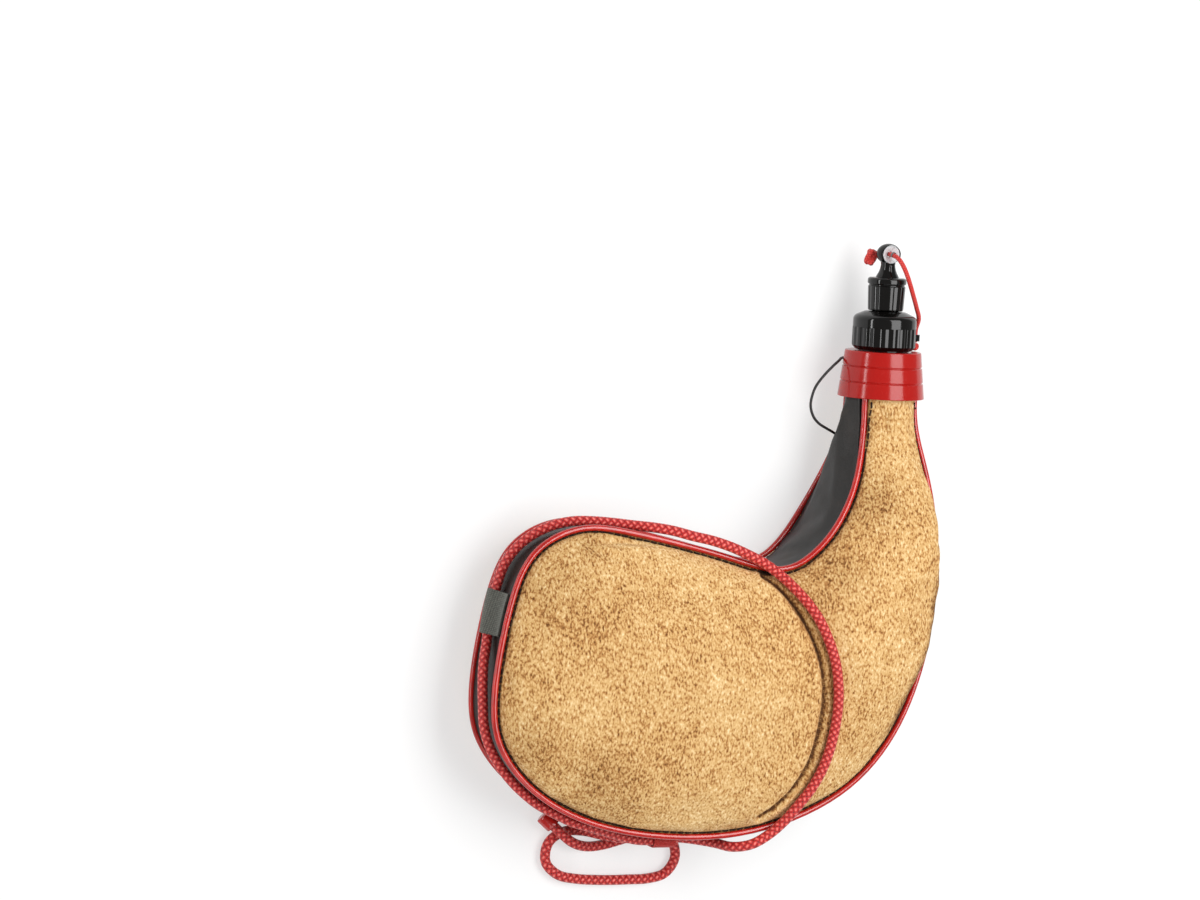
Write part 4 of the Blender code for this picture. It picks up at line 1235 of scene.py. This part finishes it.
def round_bead(node, name):
    piece = merged_copy(node, name)
    bpy.ops.object.mode_set(mode="OBJECT")
    subdivide(piece, 2)
    pick(piece)
    bpy.ops.object.mode_set(mode="EDIT")
    bpy.ops.mesh.select_all(action="SELECT")
    bpy.ops.transform.shrink_fatten(value=-bead_draw)
    bpy.ops.object.mode_set(mode="OBJECT")
    smooth_shade(piece, 60)
    dress(piece, pvc, bag, "piping_plastic", node)
    print(name, "in mm", [round(side / mm, 1) for side in piece.dimensions])


round_bead("front_piping", "front_piping_bead")
round_bead("back_piping", "back_piping_bead")

# %% [markdown]
# The seam is lockstitched in dark waxed thread right beside the piping. One stitch is
# modelled, a short rod with narrow ends, and copied along the rim.

# %% Thread


def make_mottled(name, size, stops, **values):
    material, tree, shader = start_material(name)
    place = add_node(tree, "TexCoord")
    mottle = add_node(tree, "TexNoise", sockets={
        "Vector": place.outputs["Object"], "Scale": 1 / size,
    })
    ramp = add_node(tree, "ValToRGB", sockets={"Fac": mottle.outputs["Fac"]})
    set_stops(ramp, stops)
    finish_shader(tree, shader, Base_Color=ramp.outputs["Color"], **values)
    print("finish", name)
    return material


thread = make_mottled(
    "dark_waxed_thread", 0.8 * mm, [(0.35, "1c1412"), (0.65, "3d2a22")],
    Roughness=0.9, Specular_IOR_Level=0.1,
)

# %% One stitch
stitch_length = 3.4 * mm
stitch_gap = 0.7 * mm
stitch_radius = 0.48 * mm
rod_share = 0.8
end_share = 0.1
end_width = 0.4

deselect_all()
bpy.ops.mesh.primitive_cylinder_add(
    vertices=6, radius=stitch_radius, depth=stitch_length * rod_share,
)
stitch = bpy.context.active_object
stitch.name = "stitch"
bpy.ops.object.mode_set(mode="EDIT")
shape = bmesh.from_edit_mesh(stitch.data)
for face in shape.faces:
    face.select = abs(face.normal.z) > 0.9
bmesh.update_edit_mesh(stitch.data)
bpy.ops.mesh.extrude_faces_move(
    TRANSFORM_OT_shrink_fatten={"value": stitch_length * end_share},
)
for face in bmesh.from_edit_mesh(stitch.data).faces:
    if face.select:
        for vertex in face.verts:
            vertex.co.x *= end_width
            vertex.co.y *= end_width
bmesh.update_edit_mesh(stitch.data)
bpy.ops.object.mode_set(mode="OBJECT")
stitch_mesh = stitch.data
print("stitch faces", len(stitch_mesh.polygons))

# %% Stitch rows
stitch_lift = 0.34 * mm
seam_top = 149 * mm
widest_step = 12 * mm


def sew(name, line):
    points = [point for point, normal in line if point.y < seam_top]
    normals = [normal for point, normal in line if point.y < seam_top]
    breaks = [0]
    for index in range(1, len(points)):
        if (points[index] - points[index - 1]).length > widest_step:
            breaks.append(index)
    points = points[breaks[-1]:] + points[:breaks[-1]]
    normals = normals[breaks[-1]:] + normals[:breaks[-1]]
    normal_tree = point_tree(points)
    spots = evenly(points, stitch_length + stitch_gap)
    vertices = []
    faces = []
    for start_spot, end_spot in zip(spots, spots[1:]):
        if (end_spot - start_spot).length > 2 * stitch_length:
            continue
        centre_spot = (start_spot + end_spot) / 2
        along = (end_spot - start_spot).normalized()
        normal = normals[normal_tree.find(centre_spot)[1]]
        across = along.cross(normal).normalized()
        turn_to = Matrix((across, along.cross(across), along)).transposed()
        offset = len(vertices)
        for vertex in stitch_mesh.vertices:
            vertices.append(centre_spot + turn_to @ vertex.co + normal * stitch_lift)
        faces += [[index + offset for index in face.vertices] for face in stitch_mesh.polygons]
    row = new_mesh(name, vertices, faces)
    smooth_shade(row, 60)
    dress(row, thread, bag, "binding_thread")
    print(name, "stitches", len(faces) // len(stitch_mesh.polygons))


sew("front_seam_stitches", front_rim)
sew("back_seam_stitches", back_rim)
bpy.data.objects.remove(stitch)

# %% [markdown]
# The fitting is injection moulded and turned about the neck's axis. Each part starts
# as a circle that is extruded and scaled ring by ring, as on a lathe. The profile's
# corners are rounded first, since a mould leaves no sharp edge and the light runs
# along those curves.

# %% Rounded profile


def rounded(corners, steps=4):
    result = []
    count = len(corners)
    for index, (radius, height, fillet) in enumerate(corners):
        if fillet == 0:
            result.append((radius, height))
            continue
        corner = Vector((radius, height))
        before = Vector(corners[index - 1][:2]) - corner
        after = Vector(corners[(index + 1) % count][:2]) - corner
        reach = min(fillet, before.length * 0.48, after.length * 0.48)
        first = corner + before.normalized() * reach
        last = corner + after.normalized() * reach
        for step in range(steps + 1):
            t = step / steps
            spot = first * (1 - t) ** 2 + corner * (2 * t * (1 - t)) + last * t ** 2
            result.append((spot.x, spot.y))
    return result

# %% Lathe
lathe_sides = 96


def lathe(name, profile, sides=lathe_sides, ring=True):
    deselect_all()
    radius, height = profile[0]
    bpy.ops.mesh.primitive_circle_add(vertices=sides, radius=radius * mm, location=(0, 0, 0))
    piece = bpy.context.active_object
    piece.name = name
    bpy.ops.object.mode_set(mode="EDIT")
    bpy.ops.transform.translate(value=(0, 0, height * mm))
    for following, top in profile[1:] + ([profile[0]] if ring else []):
        bpy.ops.mesh.extrude_edges_move(
            TRANSFORM_OT_translate={"value": (0, 0, (top - height) * mm)},
        )
        bpy.ops.transform.resize(
            value=(following / radius, following / radius, 1), center_override=(0, 0, top * mm),
        )
        radius, height = following, top
    bpy.ops.mesh.select_all(action="SELECT")
    bpy.ops.mesh.remove_doubles(threshold=0.001 * mm)
    if not ring:
        bpy.ops.mesh.fill_holes(sides=0)
    bpy.ops.mesh.normals_make_consistent(inside=False)
    bpy.ops.object.mode_set(mode="OBJECT")
    return piece


def stand_on_neck(piece, degrees=40):
    piece.matrix_world = Matrix.Translation(neck_foot) @ Matrix.Rotation(-math.pi / 2, 4, "X")
    set_in_mesh(piece)
    smooth_shade(piece, degrees)

# %% [markdown]
# Finger ribs are pressed into a turned skirt: every few sides one row of points is
# drawn in towards the axis, and its neighbours a little less. A trim adds one solid to
# another, or cuts it out, with a boolean modifier.

# %% Ribs and trims
rib_slope = 0.6
rib_band = 3


def press_ribs(piece, count, low, high, depth, outer, sides=lathe_sides):
    per_rib = sides // count
    pick(piece)
    bpy.ops.object.mode_set(mode="EDIT")
    for share, strength in ((0, 1.0), (1, rib_slope), (per_rib - 1, rib_slope)):
        shape = bmesh.from_edit_mesh(piece.data)
        for part in (shape.verts, shape.edges, shape.faces):
            for element in part:
                element.select = False
        for vertex in shape.verts:
            place = math.atan2(vertex.co.y, vertex.co.x) / full_turn * sides
            in_row = round(place) % per_rib == share
            in_height = low * mm < vertex.co.z < high * mm
            outside = math.hypot(vertex.co.x, vertex.co.y) > (outer - rib_band) * mm
            vertex.select = in_row and in_height and outside
        bmesh.update_edit_mesh(piece.data)
        scale = 1 - depth * strength / outer
        bpy.ops.transform.resize(value=(scale, scale, 1), center_override=(0, 0, 0))
    bpy.ops.object.mode_set(mode="OBJECT")


def trim(piece, tool, operation):
    cut = piece.modifiers.new("cut", "BOOLEAN")
    cut.operation = operation
    cut.solver = "EXACT"
    cut.object = tool
    apply_modifiers(piece)
    bpy.data.objects.remove(tool)

# %% [markdown]
# The fitting's plastics are glossy as they leave the mould, with a slow ripple and fine
# scuffs where the gloss is lower and the colour paler.

# %% Moulded plastics


def make_moulded(name, code, worn_code, rough_low, rough_high):
    material, tree, shader = start_material(name)
    place = add_node(tree, "TexCoord")
    flow = add_node(tree, "TexNoise", sockets={
        "Vector": place.outputs["Object"], "Scale": 1 / (9 * mm), "Detail": 3.0,
    })
    scuff = add_node(tree, "TexNoise", sockets={
        "Vector": place.outputs["Object"], "Scale": 1 / (1.6 * mm), "Detail": 4.0, "Roughness": 0.7,
    })
    scuff_ramp = add_node(tree, "ValToRGB", sockets={"Fac": scuff.outputs["Fac"]})
    set_stops(scuff_ramp, [(0.58, code), (0.80, worn_code)])
    gloss = add_node(tree, "MapRange", sockets={
        "Value": scuff.outputs["Fac"], "From Min": 0.35, "From Max": 0.75,
        "To Min": rough_low, "To Max": rough_high,
    })
    ripple = add_node(tree, "Bump", sockets={
        "Height": flow.outputs["Fac"], "Strength": 0.12, "Distance": 0.4 * mm,
    })
    finish_shader(
        tree, shader, Base_Color=scuff_ramp.outputs["Color"], Roughness=gloss.outputs[0],
        Normal=ripple.outputs[0], IOR=1.49, Specular_IOR_Level=0.4,
    )
    return material


red_plastic = make_moulded(
    "moulded_red_polypropylene", code="a3140f", worn_code="ad2620", rough_low=0.13, rough_high=0.22,
)
black_plastic = make_moulded(
    "moulded_black_polypropylene", code="080706", worn_code="12100f", rough_low=0.07, rough_high=0.14,
)
print("finishes", red_plastic.name, black_plastic.name)

# %% [markdown]
# The collar is moulded in red. It is slightly conical, and two fine grooves part it
# into three bands. Sizes on the lathe are in millimetres, and each corner of a profile
# is a radius, a height and the size of its rounding.

# %% Collar
collar_foot_radius = 22.4
collar_top_radius = 19.7
collar_height = 24.0
collar_wall = 1.6
collar_bore = 13.1
lip_height = 22.2
groove_shares = (0.34, 0.67)
groove_depth = 0.5
groove_half = 0.55
groove_floor_half = 0.12


def collar_at(height):
    return collar_foot_radius + (collar_top_radius - collar_foot_radius) * height / collar_height


collar_profile = [(collar_at(0), 0.0, 0.45)]
for share in groove_shares:
    centre_height = share * collar_height
    for offset, depth in (
        (-groove_half, 0), (-groove_floor_half, groove_depth),
        (groove_floor_half, groove_depth), (groove_half, 0),
    ):
        height = centre_height + offset
        collar_profile.append((collar_at(height) - depth, height, 0.12))
collar_profile += [
    (collar_at(collar_height), collar_height, 0.7), (collar_bore, collar_height, 0.3),
    (collar_bore, lip_height, 0.0), (collar_at(lip_height) - collar_wall, lip_height, 0.4),
    (collar_at(0) - collar_wall, 0.0, 0.45),
]
collar = lathe("moulded_collar", rounded(collar_profile))
stand_on_neck(collar)
dress(collar, red_plastic, bag, "collar_plastic", "collar")

# %% [markdown]
# The filler cap is a screw cap with twenty finger ribs below a smooth shoulder. The
# spout tube stands on it, inside the stopper, and a small lug holds the tether.

# %% Filler cap
filler_radius = 16.4
filler_foot = 24.5
filler_bore = 13.2
filler_roof = 41.1
spout_radius = 6.5
spout_top = 57.0
spout_seat = 3.4
spout_bore = 1.8
filler_sides = 120

filler_profile = rounded([
    (14.5, filler_foot, 0.3), (15.8, 25.8, 0.5), (filler_radius, 26.5, 0.3),
    (filler_radius, 35.6, 0.3), (filler_radius, 36.4, 0.3), (filler_radius, 40.7, 0.9),
    (15.2, 42.2, 1.2), (10.8, 44.2, 0.8), (9.6, 44.5, 0.3), (spout_radius, 44.5, 0.3),
    (spout_radius, spout_top, 0.8), (spout_seat, spout_top, 0.3), (spout_seat, 51.0, 0.0),
    (spout_bore, 51.0, 0.0), (spout_bore, filler_roof, 0.0), (filler_bore, filler_roof, 0.3),
    (filler_bore, filler_foot, 0.3),
])
filler = lathe("moulded_filler_cap", filler_profile, filler_sides)
press_ribs(filler, count=20, low=25.4, high=36.0, depth=0.6, outer=filler_radius, sides=filler_sides)

# %% Lug of the filler cap
lug_turn = math.radians(6)
lug_height = 30.9 * mm
lug_radius = 2.6 * mm
lug_thick = 3.4 * mm
lug_long = 4.2 * mm
lug_middle = 17.1 * mm
lug_end_reach = 19.0 * mm
lug_hole_reach = 19.2 * mm
lug_hole_radius = 1.6 * mm
lug_drill = 8 * mm
lug_edge_width = 0.35 * mm


def add_post(sides, radius, depth, reach):
    deselect_all()
    bpy.ops.mesh.primitive_cylinder_add(
        vertices=sides, radius=radius, depth=depth, location=(reach, 0, lug_height),
    )
    return bpy.context.active_object


deselect_all()
bpy.ops.mesh.primitive_cube_add(
    size=1, location=(lug_middle, 0, lug_height), scale=(lug_long, 2 * lug_radius, lug_thick),
)
lug = bpy.context.active_object
trim(lug, add_post(40, lug_radius, lug_thick, lug_end_reach), "UNION")
trim(lug, add_post(32, lug_hole_radius, lug_drill, lug_hole_reach), "DIFFERENCE")
lug_edge = lug.modifiers.new("edge", "BEVEL")
lug_edge.width = lug_edge_width
lug_edge.segments = 3
apply_modifiers(lug)
lug.matrix_world = Matrix.Rotation(lug_turn, 4, "Z") @ Matrix.Translation(lug.location)
set_in_mesh(lug)
deselect_all()
lug.select_set(True)
filler.select_set(True)
bpy.context.view_layer.objects.active = filler
bpy.ops.object.join()
stand_on_neck(filler, 35)
dress(filler, black_plastic, "filler_cap", "black_plastic", "filler_cap")

# %% [markdown]
# The stopper cap has twelve ribs under a smooth band, a stem that sweeps up, and a
# knob with an eye. The knob is a ball drawn wider, with a hole cut through it from
# front to back that opens like two funnels.

# %% Stopper cap
skirt_radius = 9.7
skirt_foot = 44.8
skirt_bore = 7.2
skirt_roof = 59.2
stem_foot = 61.9
stem_rise = 7.1
stem_radius = 3.6
stem_flare = 2.6
stem = [(0.12, 0.78), (0.3, 0.5), (0.5, 0.27), (0.7, 0.12), (0.88, 0.04)]
knob_height = 73.8
knob_radius = 5.5
knob_first = 138
knob_step = 9.6

stopper_profile = rounded([
    (0.4, skirt_roof, 0.0), (skirt_bore, skirt_roof, 0.3), (skirt_bore, skirt_foot, 0.3),
    (8.8, skirt_foot, 0.4), (9.2, 45.4, 0.4), (skirt_radius, 57.2, 0.3), (9.2, 57.7, 0.15),
    (9.2, 58.1, 0.15), (10.0, 58.7, 0.3), (10.0, 61.0, 0.5), (9.0, 61.8, 0.5),
    (6.4, stem_foot, 0.4),
])
for rise, share in stem:
    stopper_profile.append((stem_radius + stem_flare * share, stem_foot + rise * stem_rise))
for step in range(15):
    angle = math.radians(knob_first - step * knob_step)
    height = knob_height + knob_radius * math.cos(angle)
    stopper_profile.append((knob_radius * math.sin(angle), height))
stopper = lathe("moulded_stopper_cap", stopper_profile, ring=False)
press_ribs(stopper, count=12, low=45.2, high=57.3, depth=0.32, outer=skirt_radius)

# %% Knob and eye
knob_wider = 0.17
knob_deeper = 0.06
eye_sides = 48

for vertex in stopper.data.vertices:
    share = ease(vertex.co.z, 68.6 * mm, 71.5 * mm)
    vertex.co.x *= 1 + knob_wider * share
    vertex.co.y *= 1 + knob_deeper * share

eye_profile = [(9.0, 5.6), (4.75, 3.05), (1.95, 1.25), (1.95, -1.25), (4.75, -3.05), (9.0, -5.6)]
eye = lathe("eye", eye_profile, eye_sides, ring=False)
eye_turn = Matrix.Translation((0, 0, knob_height * mm)) @ Matrix.Rotation(math.pi / 2, 4, "X")
eye.matrix_world = eye_turn
set_in_mesh(eye)
trim(stopper, eye, "DIFFERENCE")
stand_on_neck(stopper, 35)
dress(stopper, black_plastic, "stopper_cap", "black_plastic", "stopper_cap")

# %% [markdown]
# The eye is lined with a pale grey, partly metallic ring, which paints the highlight
# that the rim of the eye shows as a light ring from most sides.

# %% Painted highlight in the eye
# Painted highlight: the pale grey ring stands in for the highlight on the eye's rim.
eye_highlight_finish, tree, shader = start_material("pale_grey_painted_eye_highlight")
place = add_node(tree, "TexCoord")
scratch = add_node(tree, "TexNoise", sockets={
    "Vector": place.outputs["Object"], "Scale": 1 / (0.9 * mm), "Detail": 3.0,
})
shine = add_node(tree, "MapRange", sockets={
    "Value": scratch.outputs["Fac"], "To Min": 0.4, "To Max": 0.6,
})
scratch_ramp = add_node(tree, "ValToRGB", sockets={"Fac": scratch.outputs["Fac"]})
set_stops(scratch_ramp, [(0.35, "c2c6c8"), (0.6, "e4e8ea")])
finish_shader(
    tree, shader, Base_Color=scratch_ramp.outputs["Color"], Roughness=shine.outputs[0], Metallic=0.35,
)

eye_highlight_ring = lathe("eye_lining", [
    (4.72, 3.0), (1.92, 1.2), (1.92, -1.2), (4.72, -3.0), (4.6, -3.25), (1.65, -1.4), (1.65, 1.4),
    (4.6, 3.25),
], eye_sides)
eye_highlight_ring.matrix_world = eye_turn
set_in_mesh(eye_highlight_ring)
stand_on_neck(eye_highlight_ring, 35)
dress(eye_highlight_ring, eye_highlight_finish, "stopper_cap", "black_plastic")

# %% [markdown]
# When the filler cap is off, the neck shows its thread. The ridge is a thin line that
# winds between two and three times round the moulded throat, with ends that fade into
# the wall.

# %% Neck thread
ridge_turns = 2.4
ridge_steps = 144
ridge_reach = 12.35 * mm
ridge_foot = 28.0
ridge_climb = 8.5
ridge_end = 0.15
ridge_growth = 0.45
ridge_fade = 0.06

ridge_line = []
ridge_radii = []
for step in range(ridge_steps + 1):
    share = step / ridge_steps
    angle = ridge_turns * full_turn * share
    height = (ridge_foot + ridge_climb * share) * mm
    fade = ease(share, 0.0, ridge_fade) * (1 - ease(share, 1 - ridge_fade, 1.0))
    spot = Vector((ridge_reach * math.cos(angle), height, ridge_reach * math.sin(angle)))
    ridge_line.append(neck_foot + spot)
    ridge_radii.append((ridge_end + ridge_growth * fade) * mm)
neck_thread = sweep("neck_screw_thread", ridge_line, max(ridge_radii), 8, ridge_radii)
dress(neck_thread, black_plastic, bag, "black_plastic")

# %% [markdown]
# Waxed hemp thread ties the leather onto the throat. It winds four times round the
# neck under the collar, each turn beside the last.

# %% Neck binding
hemp, tree, shader = start_material("waxed_hemp_thread")
place = add_node(tree, "UVMap", {"uv_map": "along_the_cord"})
twist = add_node(tree, "Mapping", sockets={
    "Vector": place.outputs[0], "Scale": (1 / (3 * mm), 2.0, 1.0),
})
strands = add_node(tree, "TexWave", {"bands_direction": "DIAGONAL"}, {
    "Vector": twist.outputs[0], "Scale": 0.6, "Distortion": 0.6,
})
hemp_ramp = add_node(tree, "ValToRGB", sockets={"Fac": strands.outputs["Fac"]})
set_stops(hemp_ramp, [(0.2, "8d8266"), (0.7, "d0c6a8")])
hemp_lift = add_node(tree, "Bump", sockets={
    "Height": strands.outputs["Fac"], "Strength": 0.5, "Distance": 0.2 * mm,
})
finish_shader(
    tree, shader, Base_Color=hemp_ramp.outputs["Color"], Roughness=0.7, Normal=hemp_lift.outputs[0],
)

binding_turns = 4
binding_steps = binding_turns * 48
hemp_radius = 1.08 * mm
binding_low, binding_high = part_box("neck_binding")
binding_reach = (binding_high[0] - binding_low[0]) / 2 - hemp_radius
binding_foot = binding_low[1] + hemp_radius
binding_climb = binding_high[1] - binding_low[1] - 2 * hemp_radius
binding_line = []
for step in range(binding_steps + 1):
    share = step / binding_steps
    angle = binding_turns * full_turn * share
    binding_line.append(Vector((
        neck_foot.x + binding_reach * math.cos(angle), binding_foot + share * binding_climb,
        neck_foot.z + binding_reach * math.sin(angle),
    )))
binding = sweep("neck_binding_thread", binding_line, hemp_radius, 10)
dress(binding, hemp, bag, "binding_thread", "neck_binding")

# %% [markdown]
# The parts that hide inside keep their solids and get real finishes: a butyl gasket
# and seal, a natural spout tip, the black throat, and the rubber bladder.

# %% Hidden parts
butyl = make_mottled(
    "butyl_rubber", 3 * mm, [(0.4, "7b2a22"), (0.7, "8f3b31")], Roughness=0.65,
)
nylon = make_mottled(
    "natural_nylon", 2 * mm, [(0.4, "d9d3c2"), (0.7, "e8e3d4")], Roughness=0.35, IOR=1.53,
)
bladder = make_mottled(
    "grey_latex_bladder", 6 * mm, [(0.4, "2f2c2a"), (0.7, "4a4542")], Roughness=0.7,
)

for node, material in (
    ("filler_gasket", butyl), ("stopper_seal", butyl), ("spout_tip", nylon),
    ("throat", black_plastic), ("liner", bladder),
):
    nodes[node].data.materials.clear()
    nodes[node].data.materials.append(material)
    print("finished", node)

# %% [markdown]
# The keeper is a band of grey polypropylene webbing sewn over the gusset, with a hump
# where the cord runs under it. Its copy is subdivided, and the weave follows the
# band: fine ribs along it and picks across it.

# %% Keeper
thread_spacing = 0.9 * mm
wave_of_one_thread = math.pi / 10 / thread_spacing
band_turn = math.radians(12)

webbing, tree, shader = start_material("grey_polypropylene_webbing")
place = add_node(tree, "TexCoord")
turned_map = add_node(tree, "Mapping", sockets={
    "Vector": place.outputs["Object"], "Rotation": (0.0, 0.0, band_turn),
})
warp, weft = [
    add_node(tree, "TexWave", {"bands_direction": direction, "wave_profile": "SIN"}, {
        "Vector": turned_map.outputs[0], "Scale": wave_of_one_thread, "Distortion": 0.6,
    })
    for direction in ("Y", "Z")
]
weave = add_node(tree, "Math", {"operation": "MULTIPLY"}, {
    0: warp.outputs["Fac"], 1: weft.outputs["Fac"],
})
fuzz = add_node(tree, "TexNoise", sockets={
    "Vector": place.outputs["Object"], "Scale": 1 / (1.5 * mm), "Detail": 3.0,
})
web_height = add_node(tree, "Math", {"operation": "ADD"}, {
    0: weave.outputs[0], 1: fuzz.outputs["Fac"],
})
web_ramp = add_node(tree, "ValToRGB", sockets={"Fac": web_height.outputs[0]})
set_stops(web_ramp, [(0.35, "41423d"), (0.8, "575850"), (1.0, "6b6c64")])
web_lift = add_node(tree, "Bump", sockets={
    "Height": web_height.outputs[0], "Strength": 0.6, "Distance": 0.3 * mm,
})
finish_shader(
    tree, shader, Base_Color=web_ramp.outputs["Color"], Roughness=0.75, Normal=web_lift.outputs[0],
    Sheen_Weight=0.2,
)


def soft_copy(node, name, crease_angle, crease):
    piece = merged_copy(node, name)
    bpy.ops.mesh.select_all(action="DESELECT")
    bpy.ops.mesh.edges_select_sharp(sharpness=math.radians(crease_angle))
    bpy.ops.transform.edge_crease(value=crease)
    bpy.ops.object.mode_set(mode="OBJECT")
    subdivide(piece, 2)
    smooth_shade(piece, 45)
    return piece


keeper = soft_copy("cord_keeper", "webbing_keeper", crease_angle=60, crease=0.75)
dress(keeper, webbing, bag, "webbing", "cord_keeper")

# %% [markdown]
# Two small holders finish the cord: a whipping of red thread round both strands, and
# a small red cup at the back seam that takes the end of the loop.

# %% Whipping
whip_thread = 0.42 * mm
steps_of_a_lap = 28
whip_low, whip_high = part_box("cord_whipping")
strand_upper = ring_path[0]
strand_lower = ring_path[-1]
whip_reach = (whip_high[1] - whip_low[1]) / 2 - whip_thread
half_gap = (strand_upper.z - strand_lower.z) / 2
middle_z = (strand_upper.z + strand_lower.z) / 2
middle_y = (whip_low[1] + whip_high[1]) / 2
whip_span = whip_high[0] - whip_low[0] - 2 * whip_thread
whip_turns = int(whip_span / (2 * whip_thread))
arc = math.pi * whip_reach
lap = 4 * half_gap + 2 * arc
whip_line = []
for step in range(whip_turns * steps_of_a_lap + 1):
    travelled = (step % steps_of_a_lap) / steps_of_a_lap * lap
    x = whip_low[0] + whip_thread + whip_span * step / (whip_turns * steps_of_a_lap)
    if travelled < 2 * half_gap:
        y, z = whip_reach, -half_gap + travelled
    elif travelled < 2 * half_gap + arc:
        angle = (travelled - 2 * half_gap) / whip_reach
        y, z = whip_reach * math.cos(angle), half_gap + whip_reach * math.sin(angle)
    elif travelled < 4 * half_gap + arc:
        y, z = -whip_reach, half_gap - (travelled - 2 * half_gap - arc)
    else:
        angle = math.pi + (travelled - 4 * half_gap - arc) / whip_reach
        y, z = whip_reach * math.cos(angle), -half_gap + whip_reach * math.sin(angle)
    whip_line.append(Vector((x, middle_y + y, middle_z + z)))
whipping = sweep("cord_whipping_thread", whip_line, whip_thread, 6)
dress(whipping, fine_braid, bag, "cord_braid", "cord_whipping")
print("whipping turns", whip_turns)

# %% End cup
cup = soft_copy("cord_anchor", "cord_end_cup", crease_angle=50, crease=0.35)
dress(cup, pvc, bag, "piping_plastic", "cord_anchor")
